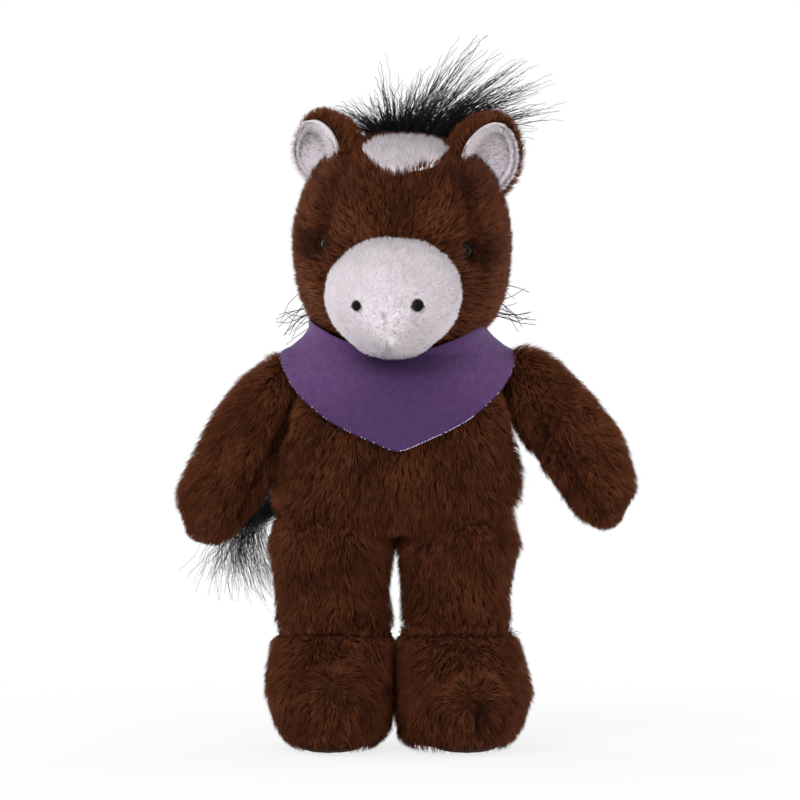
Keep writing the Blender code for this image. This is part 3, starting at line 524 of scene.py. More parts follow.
# what the brown fur stands on: the nodes it wraps, how fine, how deep the fur is, the seams that show,
# and the outline of the fur in rows of height and the two sides, from the front and (depth) from the side
furDepth = 3.1 * mm
paddedForms = {
    "torsoForm": {
        "nodes": ("torso_skin", "torso_stuffing"), "body": "torso", "cuts": 20, "seams": [],
        "raised": (94, -14, -3.0),
        "outline": [(86, -47.5, 41.5), (91, -51.5, 45.2), (96, -52.2, 46.2), (101, -51.0, 46.0),
                    (111, -49.0, 45.6), (120, -46.5, 44.0), (130, -43.5, 41.5), (141, -40.0, 37.0)],
        "depth": [(86, -25, 33), (93, -32, 35.5), (102, -37.5, 36.5), (112, -40.3, 36), (120, -41, 35.5),
                  (135, -38, 31)],
    },
    "headForm": {
        "nodes": ("head_skin", "head_stuffing"), "body": "head", "cuts": 22, "seams": [
            {"line": [(350, 150), (343, 178), (334, 205), (326, 236)], "width": 2.8 * mm, "strength": 0.5},
            {"line": [(457, 160), (462, 190), (465, 215), (469, 240)], "width": 2.6 * mm, "strength": 0.65},
            {"line": [(318, 244), (326, 252)], "width": 3.6 * mm, "strength": 0.5},
            {"line": [(465, 248), (472, 260)], "width": 3.6 * mm, "strength": 0.5},
        ],
        "lower": (177, -16, -5.6),
        "outline": [(157, -26.5, 26.0), (161, -32.4, 31.6), (164, -35.8, 35.1), (168, -38.0, 37.3),
                    (176, -41.0, 40.3), (186, -43.1, 41.8), (195, -43.8, 42.6), (204, -43.0, 42.0), (212, -40.6, 39.9)],
        "depth": [(157, -28.5, 20), (160, -32.0, 25), (164, -35.0, 29), (169, -36.6, 32), (178, -38.2, 34.2)],
    },
    "armRightForm": {
        "nodes": ("arm_right_skin", "arm_right_stuffing"), "body": "arm_right", "cuts": 16,
        "seams": [{"line": [(292, 400), (272, 440), (252, 482), (238, 512)], "width": 2.0 * mm}],
        "outline": [(80.2, -83.6, -66), (86.4, -86.3, -61.5), (92, -87.6, -56.5), (98, -88.6, -52.5),
                    (110, -84.0, -46.5), (121, -78.4, -43), (130.6, -73.4, -41), (143, -63.6, -40), (149, -55.5, -38)],
    },
    "armLeftForm": {
        "nodes": ("arm_left_skin", "arm_left_stuffing"), "body": "arm_left", "cuts": 16, "raised": (138, 13, 3.4),
        "seams": [{"line": [(530, 400), (556, 440), (580, 478), (600, 508)], "width": 2.0 * mm}],
        "outline": [(87.4, 69.5, 84.2), (92.5, 64.3, 86.4), (99.9, 59.3, 89.9), (106, 55.0, 89.7),
                    (112.3, 51.0, 87.7), (118, 46.0, 86.0), (123.3, 42.5, 83.6), (129.4, 40, 78.8),
                    (138, 38, 72.2), (147, 36, 63.4), (152.5, 35, 57.0)],
    },
    "legRightForm": {
        "nodes": ("leg_right_skin", "leg_right_stuffing"), "body": "leg_right", "cuts": 14, "seams": [],
        "raised": (76, 14, 4.5),
        "outline": [(50, -49.8, -3.6), (56, -49.6, -4.6), (62, -50.4, -5.4), (71, -51.6, -4.0),
                    (80, -53.2, -3.0), (87, -50.5, -5.0)],
        "depth": [(50, -21.5, 20), (62, -23.5, 21.5), (72, -27, 24), (80, -29.5, 25.5), (86, -28.5, 24)],
    },
    "legLeftForm": {
        "nodes": ("leg_left_skin", "leg_left_stuffing"), "body": "leg_left", "cuts": 14, "seams": [],
        "raised": (76, 14, 4.5),
        "outline": [(50, -1.2, 41.8), (56, -1.5, 41.5), (62, -1.5, 41.8), (71, -2.2, 43.0),
                    (80, -2.6, 46.2), (87, -0.4, 43.8)],
        "depth": [(50, -22, 20), (62, -24, 21.5), (72, -27.5, 24), (80, -30, 25.5), (86, -29, 24)],
    },
    "footRightForm": {
        "nodes": ("foot_right_skin", "foot_right_stuffing"), "body": "leg_right", "cuts": 18,
        "seams": [{"line": [(338, 684), (340, 706), (336, 726)], "width": 1.9 * mm, "strength": 0.55}],
        "outline": [(5, -45.0, -9.0), (10, -49.0, -4.8), (16, -52.4, -2.4), (23, -54.0, -1.8),
                    (31, -53.6, -1.8), (40, -51.9, -2.0), (46, -50.6, -2.4), (48.6, -49.4, -3.4)],
        "depth": [(5, -37, 21), (10, -40, 24), (18, -41, 25), (27, -38, 25), (35, -32.5, 23.5),
                  (42, -27, 22.5), (48.6, -22, 20.2)],
    },
    "footLeftForm": {
        "nodes": ("foot_left_skin", "foot_left_stuffing"), "body": "leg_left", "cuts": 18,
        "seams": [{"line": [(474, 682), (475, 700), (476, 722)], "width": 2.1 * mm}],
        "outline": [(5, -0.6, 41.5), (10, -3.6, 45.6), (16, -4.8, 48.9), (22, -5.0, 50.4),
                    (30, -4.8, 48.6), (40, -4.4, 45.8), (46, -3.4, 44.2), (48.6, -2.0, 42.4)],
        "depth": [(5, -38, 21), (10, -41, 24), (18, -42, 25), (27, -39, 25), (35, -33.5, 23.5),
                  (42, -28, 22.5), (48.6, -22.5, 20.2)],
    },
}
seamDepth = 3.0 * mm

forms = {}
for formName, form in paddedForms.items():
    onFloor = 0.5 * mm if formName.startswith("foot") else None
    piece = wrapNodes(
        formName, form["nodes"], form["cuts"], furDepth, onFloor, form["outline"], form.get("depth"),
        form.get("lower"), form.get("raised"),
    )
    plump(piece, 4, 1.2 * mm)
    if form["seams"]:
        sinkSeams(piece, form["seams"], seamDepth)
    finishPiece(piece, backingLook, form["body"], form["nodes"])
    forms[formName] = piece
    print("padded form", formName, len(piece.data.vertices))

muzzleForm = wrapNodes(
    "muzzleForm", ("muzzle_skin", "muzzle_stuffing"), 20, 1.2 * mm, raised=(176, 18, 2.4),
    outline=[(157, -19.4, 11.4), (164, -26.6, 18.6), (174, -30.3, 22.2), (184, -28.6, 20.8),
             (191, -22.4, 15.4)],
)
plump(muzzleForm, 4, 0.8 * mm)
muzzleSeams = [{"line": [(386, 312), (386, 330), (388, 352)], "width": 1.0 * mm, "strength": 0.5}]
sinkSeams(muzzleForm, muzzleSeams, 1.0 * mm)
finishPiece(muzzleForm, whiteBackingLook, "head", ("muzzle_skin", "muzzle_stuffing"))
forms["muzzleForm"] = muzzleForm

neckForm = wrapNodes("neckForm", ("neck_stuffing",), 8, 0.3 * mm)
plump(neckForm, 2, 0.4 * mm)
finishPiece(neckForm, backingLook, "neck", ("neck_stuffing",))
forms["neckForm"] = neckForm

# strands


def scatter(mesh, count, draw):
    # random places on a mesh, even over its area, with the surface's normals
    mesh.calc_loop_triangles()
    corner = np.empty(len(mesh.loop_triangles) * 3, np.int32)
    mesh.loop_triangles.foreach_get("vertices", corner)
    corner = corner.reshape(-1, 3)
    points, normals = readPoints(mesh), readNormals(mesh)
    a, b, c = (points[corner[:, side]] for side in range(3))
    area = np.linalg.norm(np.cross(b - a, c - a), axis=1)
    picked = draw.choice(len(area), count, p=area / area.sum())
    first, second = np.sqrt(draw.random(count)), draw.random(count)
    shares = np.stack([1 - first, first * (1 - second), first * second], 1)[:, :, None]
    return (
        (points[corner[picked]] * shares).sum(1),
        unit((normals[corner[picked]] * shares).sum(1)),
    )


treesKept = {}


def keptTree(piece):
    if piece.name not in treesKept:
        points = readPoints(piece.data)
        treesKept[piece.name] = (treeOf(piece), points.min(0), points.max(0))
    return treesKept[piece.name]


def buried(points, piece, depth):
    # true where a point lies deeper than this inside a closed piece
    tree, low, high = keptTree(piece)
    inside = np.zeros(len(points), bool)
    for index in np.flatnonzero(np.all((points > low) & (points < high), axis=1)):
        place = Vector(points[index])
        near, normal, _, _ = tree.find_nearest(place)
        inside[index] = (place - near).dot(normal) < -depth
    return inside


def roomAbove(points, ways, piece, reach):
    # the way from each point to a covering piece, or reach where nothing covers it
    tree, low, high = keptTree(piece)
    room = np.full(len(points), reach)
    near = np.all((points > low - reach) & (points < high + reach), axis=1)
    for index in np.flatnonzero(near):
        hit = tree.ray_cast(Vector(points[index]), Vector(ways[index]), reach)
        if hit[0] is not None:
            room[index] = hit[3]
    return room


def buildMesh(name, corners, faces, places):
    mesh = bpy.data.meshes.new(name)
    mesh.vertices.add(len(corners))
    mesh.vertices.foreach_set("co", corners.astype(np.float32).ravel())
    mesh.loops.add(faces.size)
    mesh.loops.foreach_set("vertex_index", faces.astype(np.int32).ravel())
    mesh.polygons.add(len(faces))
    mesh.polygons.foreach_set("loop_start", np.arange(0, faces.size, 3, dtype=np.int32))
    mesh.polygons.foreach_set("use_smooth", np.ones(len(faces), bool))
    mesh.update(calc_edges=True)
    strandMap = mesh.uv_layers.new(name="OFBake")
    strandMap.uv.foreach_set("vector", places[faces.ravel()].astype(np.float32).ravel())
    return addObject(name, mesh)


straightFaces = np.array([(0, 1, 2), (1, 0, 3), (2, 1, 3), (0, 2, 3)])
bentFaces = np.array(
    [(0, 1, 2), (1, 0, 3), (1, 3, 4), (2, 1, 4), (2, 4, 5),
     (0, 2, 5), (0, 5, 3), (4, 3, 6), (5, 4, 6), (3, 5, 6)]
)
toneWidth = 0.004  # half the breadth of a strand's patch in its map


def strandPiece(name, strands, bent):
    # closed strands: a three-sided root, a three-sided bend on the bent ones, and a point
    root, middle, tip = strands["root"], strands["middle"], strands["tip"]
    axis = unit(tip - root)
    side = unit(np.cross(axis, strands["normal"]))
    ridge = np.cross(side, axis)
    wide = strands["width"][:, None] / 2
    tone = np.clip(strands["tone"], 0.03, 0.97)

    def ring(centre, share):
        return np.stack(
            [centre - side * wide * share, centre + side * wide * share, centre + ridge * wide * share], 1
        )

    def patch(low, high):
        return np.stack(
            [
                np.stack([tone - toneWidth, np.full(len(tone), low)], 1),
                np.stack([tone + toneWidth, np.full(len(tone), low)], 1),
                np.stack([tone, np.full(len(tone), high)], 1),
            ],
            1,
        )

    blocks = []
    for chosen, hasBend in ((bent, True), (~bent, False)):
        if not chosen.any():
            continue
        rings = [ring(root, 1.0)[chosen]] + ([ring(middle, 0.85)[chosen]] if hasBend else [])
        places = [patch(0.03, 0.07)[chosen]] + ([patch(0.48, 0.52)[chosen]] if hasBend else [])
        end = np.full(len(tone), 0.97 if hasBend else 0.8)
        rings.append(tip[chosen][:, None])
        places.append(np.stack([tone, end], 1)[chosen][:, None])
        pattern = bentFaces if hasBend else straightFaces
        blocks.append((np.concatenate(rings, 1), np.concatenate(places, 1), pattern))
    corners, places, faces, start = [], [], [], 0
    for blockCorners, blockPlaces, pattern in blocks:
        count, each = blockCorners.shape[:2]
        offsets = start + np.arange(count)[:, None, None] * each
        faces.append((pattern[None] + offsets).reshape(-1, 3))
        corners.append(blockCorners.reshape(-1, 3))
        places.append(blockPlaces.reshape(-1, 2))
        start += count * each
    return buildMesh(name, np.concatenate(corners), np.concatenate(faces), np.concatenate(places))


def paintedShadeAndTone(points, normals, shadeAndToneSpots):
    # painted shade and tone on the front: soft darker places where shade falls in hollows and creases, and lighter and
    # darker patches; each spot is pixels of the photograph, reach in mm, amount
    tone = np.zeros(len(points))
    facing = smoothStep(-normals[:, 1], -0.1, 0.3)
    for px, py, reach, amount in shadeAndToneSpots:
        far = np.hypot(points[:, 0] - photoX(px), points[:, 2] - photoZ(py))
        tone += amount * facing * np.exp(-((far / (reach * mm)) ** 2))
    return tone


def growStrands(form, look, comb, draw, neighbours=(), covers=(), seams=(), keep=None, floor=None):
    # roots over the form, combed one way, drawn together into wisps; the hidden ones left out
    count = look["bent"] + look["straight"]
    points, normals = scatter(form.data, count, draw)
    bent = np.arange(count) < look["bent"]
    kept = np.ones(count, bool)
    for neighbour, depth in neighbours:
        kept &= ~buried(points, neighbour, depth)
    if keep is not None:
        kept &= keep(points, normals)
    points, normals, bent = points[kept], normals[kept], bent[kept]
    count = len(points)

    flow = alongSurface(comb(points, normals) + 1e-6, normals)
    swing = look["swirl"] * softNoise(points, look["swirlSize"], look["seed"])
    swing += look["stray"] * draw.normal(size=count)
    across = np.cross(normals, flow)
    flow = flow * np.cos(swing)[:, None] + across * np.sin(swing)[:, None]

    pull = seamPull(points, normals, seams) if len(seams) else np.zeros(count)
    length = look["length"] * draw.uniform(0.82, 1.14, count) * (1 - 0.6 * pull)
    length *= 1 + 0.08 * softNoise(points, look["swirlSize"] * 0.8, look["seed"] + 1)
    length[~bent] *= look["underShare"]
    under = smoothStep(-normals[:, 2], 0.0, 0.55) * look.get("hang", 0)
    length *= 1 + 0.45 * under
    if floor is not None:
        length *= 0.7 + 0.3 * smoothStep(points[:, 2], 2 * mm, 13 * mm)
    if "shortEnd" in look:
        way = unit(np.array(look["shortEnd"][1]) - np.array(look["shortEnd"][0]))
        past = (points - np.array(look["shortEnd"][1]) * mm) @ way
        length *= 1 - 0.42 * smoothStep(past, -9 * mm, 1 * mm)
    rise = np.ones(count)
    for cover in covers:
        ahead = points + flow * (length * 0.6)[:, None]
        room = np.minimum(
            roomAbove(points, normals, cover, 9 * mm), roomAbove(ahead, normals, cover, 9 * mm)
        )
        rise = np.minimum(rise, np.clip((room - 0.9 * mm) / (length * 0.55), 0.06, 1))
    # lean from the normal: little at the root, nearly flat at the tip
    leanLow = np.radians(look["lean"][0] + look["leanSpread"] * draw.normal(size=count))
    leanHigh = np.radians(look["lean"][1] + look["leanSpread"] * draw.normal(size=count))
    leanHigh[~bent] -= 0.25
    upLow, upHigh = np.cos(leanLow) * rise, np.cos(leanHigh) * rise
    first = normals * upLow[:, None] + flow * np.sqrt(1 - np.clip(upLow, -0.95, 0.95) ** 2)[:, None]
    last = normals * upHigh[:, None] + flow * np.sqrt(1 - np.clip(upHigh, -0.95, 0.95) ** 2)[:, None]
    drop = np.array([0, 0, -1.0])
    first = unit(first * (1 - 0.7 * under)[:, None] + drop * (0.7 * under)[:, None])
    last = unit(last * (1 - under)[:, None] + drop * under[:, None])
    root = points - normals * 0.4 * mm
    middle = root + first * (length * 0.45)[:, None]
    tip = middle + last * (length * 0.55)[:, None]

    # wisps: each strand leans to the nearest of the few that lead
    tone = 0.5 + look["toneStray"] * draw.normal(size=count)
    leaders = draw.choice(count, max(8, int(count / look["wispSize"])), replace=False)
    finder = KDTree(len(leaders))
    for index, leader in enumerate(leaders):
        finder.insert(points[leader], index)
    finder.balance()
    mine = leaders[[finder.find(point)[1] for point in points]]
    wispTone = look["wispTone"] * draw.normal(size=count)
    together = (look["together"] * draw.uniform(0.45, 1.0, count))[:, None]
    middle = middle + (middle[mine] - middle) * together * 0.4
    tip = tip + (tip[mine] - tip) * together
    tone = tone + wispTone[mine] + look["broadTone"] * softNoise(points, 16 * mm, look["seed"] + 2)
    # the spots paint shade into the hollows and add patches of tone; the seams' pull darkens the strands along the
    # seams
    tone += paintedShadeAndTone(points, normals, look.get("shadeAndToneSpots", ())) - 0.34 * pull
    if floor is not None:
        middle[:, 2] = np.maximum(middle[:, 2], floor + 0.3 * mm)
        tip[:, 2] = np.maximum(tip[:, 2], floor)
    width = look["width"] * draw.uniform(0.8, 1.25, count)
    width[~bent] *= 1.15
    strands = {"root": root, "middle": middle, "tip": tip, "normal": normals, "width": width, "tone": tone}
    return strands, bent


def share(strands, chosen):
    return {key: values[chosen] for key, values in strands.items()}


brownFur = {
    "bent": 6000, "straight": 18000, "length": 6.6 * mm, "underShare": 0.88, "lean": (34, 73),
    "leanSpread": 7, "swirl": 0.42, "swirlSize": 13 * mm, "stray": 0.22, "wispSize": 11,
    "together": 0.42, "wispTone": 0.1, "toneStray": 0.11, "broadTone": 0.15, "width": 0.32 * mm, "seed": 11,
}
muzzleCentre = np.array([-4.0, -36.0, 174.0]) * mm
muzzleReach = 25.5 * mm


def combDown(points, normals):
    return np.array([0, 0, -1.0]) + normals * 0.0


def combTorso(points, normals):
    outward = np.clip((points[:, 0:1] + 2.2 * mm) / (30 * mm), -1, 1) * np.array([1.0, 0, 0])
    return np.array([0, 0, -1.0]) + outward * 0.18


def combHead(points, normals):
    # away from the muzzle over the face, then down the back
    away = unit(points - muzzleCentre)
    behind = smoothStep(points[:, 1:2], 0.0, 0.03)
    return away * (1 - behind) + np.array([0, 0.0, -1.0]) * behind


def combAlong(start, end):
    way = unit(np.array(end, float) - np.array(start, float))
    return lambda points, normals: way + normals * 0.0


def combFoot(centre, axisX):
    # away from the dimple at the front, then down, and outward over the top
    place = np.array(centre) * mm

    def comb(points, normals):
        away = points - place
        near = np.exp(-((np.linalg.norm(away, axis=1, keepdims=True) / (13 * mm)) ** 2))
        out = points - np.array([axisX * mm, 0, 0])
        out[:, 2] = 0
        top = smoothStep(normals[:, 2:], 0.3, 0.8)
        return unit(away) * near + (np.array([0, 0.0, -1.0]) + unit(out) * (0.15 + top)) * (1 - near)

    return comb


# the blaze's outline from the left to the right, in pixels
blaze = {
    "columns": [365, 370, 378, 388, 398, 408, 420, 432, 441, 447],
    "upper": [147, 141, 138, 136, 135, 135, 136, 138, 141, 145],
    "lower": [147, 154, 160, 165, 167, 165, 159, 155, 152, 147],
}
eyeSlit = {"outward": 0.5 * mm, "wide": 1.1 * mm, "high": 2.7 * mm, "deep": 4.0 * mm, "size": 0.82}
eyePlaces = []
for eyeNode in ("eye_left", "eye_right"):
    eyeLow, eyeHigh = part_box(eyeNode)
    eyePlaces.append(np.array((eyeLow + eyeHigh) / 2))


def inBlaze(points, normals, shrink=0.0):
    # the pale crescent on the crown in the photograph's pixels, judged where a combed strand shows
    flow = alongSurface(combHead(points, normals), normals)
    px, py = seenPixels(points + normals * 2.4 * mm + flow * 3.2 * mm)
    upper = np.interp(px, blaze["columns"], blaze["upper"]) + shrink
    lower = np.interp(px, blaze["columns"], blaze["lower"]) - shrink
    between = (px > blaze["columns"][0] + shrink) & (px < blaze["columns"][-1] - shrink)
    return between & (py > upper) & (py < lower)


def openFace(points, normals):
    # no fur on the eyes or under the blaze and the hair
    front = points[:, 1] < -0.015
    kept = ~(inBlaze(points, normals) & (points[:, 1] < 0))
    shown = points + alongSurface(combHead(points, normals), normals) * 2.6 * mm
    for place in eyePlaces:
        slit = np.array([math.copysign(eyeSlit["outward"], place[0]), 0, 0])
        for where in (points, shown):
            offset = (where - place - slit)[:, [0, 2]] / np.array([eyeSlit["wide"], eyeSlit["high"]])
            kept &= ~(front & ((offset**2).sum(1) < 1))
    return kept


def openFoot(points, normals):
    return normals[:, 2] > -0.8


furRegions = {
    "torsoFur": {
        "form": "torsoForm", "body": "torso", "bent": 11500, "straight": 40000, "comb": combTorso, "hang": 0.25,
        "neighbours": [("armRightForm", 2.5), ("armLeftForm", 2.5), ("legRightForm", 3), ("legLeftForm", 3),
                       ("headForm", 1)],
        "covers": ("neckerchief", "neckerchief_knot"), "halves": True, "seed": 21,
        # painted shade at both armpits and at the crotch, and a little lighter over the belly
        "shadeAndToneSpots": [(282, 470, 6, -0.2), (512, 440, 5, -0.2), (397, 545, 6, -0.25), (400, 500, 16, 0.06)],
    },
    "headFur": {
        "form": "headForm", "body": "head", "bent": 12500, "straight": 41000, "comb": combHead,
        "neighbours": [("muzzleForm", 0.3), ("torsoForm", 2)], "covers": (), "halves": True, "seed": 31,
        "keep": openFace, "length": 5.8 * mm,
        # painted shade in the eye hollows, painted light on the sides of the head and down by the jaw, darker seam
        # bands from the ears, darker in the forehead's middle, and lighter tufts above the muzzle
        "shadeAndToneSpots": [
            (400, 205, 10, -0.32), (346, 190, 5, -0.15), (462, 190, 5, -0.22), (345, 224, 4.5, 0.2),
            (430, 226, 5, 0.2), (300, 215, 8, 0.08), (500, 290, 8, 0.1), (319, 247, 5.2, -0.7),
            (473, 255, 5.0, -0.7), (305, 290, 8, 0.1),
        ],
    },
    "armRightFur": {
        "form": "armRightForm", "body": "arm_right", "bent": 5500, "straight": 17500,
        "comb": combAlong((-46, 0, 146), (-74, -4, 84)), "neighbours": [("torsoForm", 2.5)],
        "covers": ("neckerchief",), "seed": 41, "shortEnd": ((-46, 0, 146), (-74, -4, 84)),
        # painted shade in the groove beside the body, and a lighter patch lower on the arm
        "shadeAndToneSpots": [(285, 440, 6, -0.15), (215, 480, 9, 0.06)],
    },
    "armLeftFur": {
        "form": "armLeftForm", "body": "arm_left", "bent": 5500, "straight": 17500,
        "comb": combAlong((42, 0, 146), (76, -14, 88)), "neighbours": [("torsoForm", 2.5)],
        "covers": ("neckerchief",), "seed": 51, "shortEnd": ((42, 0, 146), (76, -14, 88)),
        # painted shade in the groove beside the body, and a lighter patch on the arm
        "shadeAndToneSpots": [(535, 430, 6, -0.12), (600, 420, 9, 0.08)],
    },
    "legRightFur": {
        "form": "legRightForm", "body": "leg_right", "bent": 5000, "straight": 16000, "comb": combDown,
        "neighbours": [("torsoForm", 2), ("footRightForm", 2.2)], "covers": (), "seed": 61,
        # painted shade in the hip crease and between the legs, and a lighter patch low on the leg
        "shadeAndToneSpots": [(330, 545, 6, -0.15), (372, 585, 5, -0.12), (330, 600, 7, 0.08)],
    },
    "legLeftFur": {
        "form": "legLeftForm", "body": "leg_left", "bent": 5000, "straight": 16000, "comb": combDown,
        "neighbours": [("torsoForm", 2), ("footLeftForm", 2.2)], "covers": (), "seed": 71,
        # a lighter patch on the leg, and painted shade between the legs
        "shadeAndToneSpots": [(470, 600, 8, 0.1), (415, 560, 5, -0.1)],
    },
    "footRightFur": {
        "form": "footRightForm", "body": "leg_right", "bent": 6200, "straight": 20000,
        "comb": combFoot((-26, -38, 28), -28), "neighbours": [("legRightForm", 1.5)], "covers": (), "seed": 81,
        # painted shade between the feet
        "keep": openFoot, "floor": 0.4 * mm, "shadeAndToneSpots": [(385, 690, 7, -0.15)],
    },
    "footLeftFur": {
        "form": "footLeftForm", "body": "leg_left", "bent": 6200, "straight": 20000,
        "comb": combFoot((27.5, -39, 24), 23), "neighbours": [("legLeftForm", 1.5)], "covers": (), "seed": 91,
        "keep": openFoot, "floor": 0.4 * mm, "shadeAndToneSpots": [(475, 700, 3, -0.35), (430, 650, 8, 0.08)],
    },
}

for furName, region in furRegions.items():
    look = {**brownFur, **region}
    strands, bent = growStrands(
        forms[region["form"]],
        look,
        region["comb"],
        np.random.default_rng(region["seed"]),
        neighbours=[(forms[other], depth * mm) for other, depth in region["neighbours"]],
        covers=[nodes[cover] for cover in region["covers"]],
        seams=paddedForms[region["form"]]["seams"],
        keep=region.get("keep"),
        floor=region.get("floor"),
    )
    if region.get("halves"):
        front = strands["root"][:, 1] < np.median(strands["root"][:, 1])
        halves = [(furName + "Front", front), (furName + "Back", ~front)]
    else:
        halves = [(furName, np.ones(len(bent), bool))]
    for pieceName, chosen in halves:
        piece = strandPiece(pieceName, share(strands, chosen), bent[chosen])
        finishPiece(piece, furLook, region["body"])
        print("fur", pieceName, len(piece.data.polygons))

# white pile on the muzzle and blaze

whitePile = {
    "bent": 0, "straight": 41000, "length": 2.7 * mm, "underShare": 1.0, "lean": (40, 72),
    "leanSpread": 10, "swirl": 0.26, "swirlSize": 12 * mm, "stray": 0.24, "wispSize": 9,
    "together": 0.5, "wispTone": 0.11, "toneStray": 0.12, "broadTone": 0.08, "width": 0.3 * mm, "seed": 101,
}
fanCentre = np.array([photoX(387), -56 * mm, photoZ(340)])


def combMuzzle(points, normals):
    # the pile fans out from the foot of the middle seam
    return unit(points - fanCentre)


nostrilLift = {"nostril_right": 0.7 * mm, "nostril_left": 1.9 * mm}


def openMuzzle(points, normals):
    kept = np.ones(len(points), bool)
    for node, lift in nostrilLift.items():
        low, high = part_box(node)
        middle = np.array((low + high) / 2) + np.array([0, 0, lift])
        kept &= np.linalg.norm(points - middle, axis=1) > 2.3 * mm
    return kept


strands, bent = growStrands(
    muzzleForm, whitePile, combMuzzle, np.random.default_rng(101),
    neighbours=[(forms["headForm"], 0.8 * mm)], seams=muzzleSeams, keep=openMuzzle,
)
dart = np.array([photoX(386), photoZ(319)])
dartReach = np.linalg.norm((strands["root"][:, [0, 2]] - dart) * [1, 0.5], axis=1)
strands["tone"] -= 0.45 * np.exp(-((dartReach / (1.3 * mm)) ** 2))
# painted light and shade: the pile is painted lightest at the upper right of the toy, where the lamp falls, and darker
# low down on its left, in shade
muzzlePaintedLight = (strands["root"] - np.array([-4.5, -50, 176]) * mm) @ unit(np.array([0.75, 0, -0.66]))
strands["tone"] += 0.2 - 0.22 * smoothStep(muzzlePaintedLight, -16 * mm, 22 * mm)
muzzlePile = strandPiece("muzzlePile", strands, bent)
finishPiece(muzzlePile, pileLook, "head")

# the blaze is a copy of its patch, rounded and set down by the pile's depth
blazeForm = copyNode("blaze_patch", "blazeForm")
addModifier(blazeForm, "SUBSURF", levels=1, render_levels=1)
applyModifiers(blazeForm)
blazePoints = readPoints(blazeForm.data)
headMiddle = np.array([-0.5, -2.0, 199.0]) * mm
blazeOut = unit(blazePoints.mean(0) - headMiddle)
blazeMiddle = blazePoints.mean(0)
blazePoints = blazeMiddle + (blazePoints - blazeMiddle) * [0.96, 1, 0.8] + np.array([1.9, 0, 2.2]) * mm
writePoints(blazeForm.data, blazePoints - blazeOut * 5.2 * mm)
finishPiece(blazeForm, whiteBackingLook, "head", ("blaze_patch",))
blazeLook = {
    **whitePile, "straight": 260000, "length": 5.2 * mm, "seed": 111, "lean": (30, 66), "width": 0.4 * mm,
}
strands, bent = growStrands(
    forms["headForm"], blazeLook, combHead, np.random.default_rng(111),
    keep=lambda points, normals: (points[:, 1] < 0) & inBlaze(points, normals, -0.5),
)
strands["tone"] -= 0.04
blazePile = strandPiece("blazePile", strands, bent)
finishPiece(blazePile, pileLook, "head")
print("muzzle and blaze pile", len(muzzlePile.data.polygons), len(blazePile.data.polygons))

# ears: furry cups that open outward, their white lining inside

ears = {
    "earRight": {
        "nodes": ("ear_right_back", "ear_right_lining"), "body": "ear_right",
        "rim": (-32.0, -4.0, 229.6), "facing": (-0.62, -0.77, -0.12), "wide": 11.6, "high": 13.8,
        "depth": 17.0, "roll": -6, "seed": 121, "outward": -1.6, "foldedOut": True,
    },
    "earLeft": {
        "nodes": ("ear_left_back", "ear_left_lining"), "body": "ear_left",
        "rim": (32.8, -8.0, 226.4), "facing": (0.44, -0.88, -0.16), "wide": 12.8, "high": 16.4,
        "depth": 16.5, "roll": 14, "seed": 131, "outward": -0.6, "foldedOut": False,
    },
}
earCups = {"segments": 44, "rings": 28, "lip": 0.28, "wall": 1.3 * mm, "lining": 1.1, "pinch": 0.14}


def earCup(name, ear, inward, wall, depthShare=1.0):
    # a ball cut open at its lip, then drawn to the ear's size; inward is the lining's own gap
    deselectAll()
    bpy.ops.mesh.primitive_uv_sphere_add(segments=earCups["segments"], ring_count=earCups["rings"], radius=1)
    cup = bpy.context.active_object
    cup.name = name
    bpy.ops.object.mode_set(mode="EDIT")
    bpy.ops.mesh.select_all(action="SELECT")
    bpy.ops.mesh.bisect(plane_co=(0, 0, earCups["lip"]), plane_no=(0, 0, 1), clear_outer=True)
    bpy.ops.object.mode_set(mode="OBJECT")
    shape = readPoints(cup.data)
    facing = unit(np.array(ear["facing"]))
    across = unit(np.cross(facing, (0, 0, 1.0)))
    upward = np.cross(across, facing)
    roll = math.radians(ear["roll"])
    across, upward = (
        across * math.cos(roll) + upward * math.sin(roll),
        upward * math.cos(roll) - across * math.sin(roll),
    )
    narrow = 1 - earCups["pinch"] * shape[:, 1] ** 2 * np.where(shape[:, 1] > 0, 1, 2.6)
    behindLip = shape[:, 2] - earCups["lip"]
    points = (
        np.array(ear["rim"])
        + across * (shape[:, 0] * narrow * (ear["wide"] - inward))[:, None]
        + upward * (shape[:, 1] * (ear["high"] - inward))[:, None]
        + facing * (behindLip * (ear["depth"] - inward) * depthShare / (1 + earCups["lip"]))[:, None]
    )
    writePoints(cup.data, points * mm)
    addModifier(cup, "SOLIDIFY", thickness=wall, offset=0)
    applyModifiers(cup)
    bpy.ops.object.mode_set(mode="EDIT")
    bpy.ops.mesh.select_all(action="SELECT")
    bpy.ops.mesh.remove_doubles(threshold=0.00002)
    bpy.ops.mesh.normals_make_consistent(inside=False)
    bpy.ops.object.mode_set(mode="OBJECT")
    return cup, facing


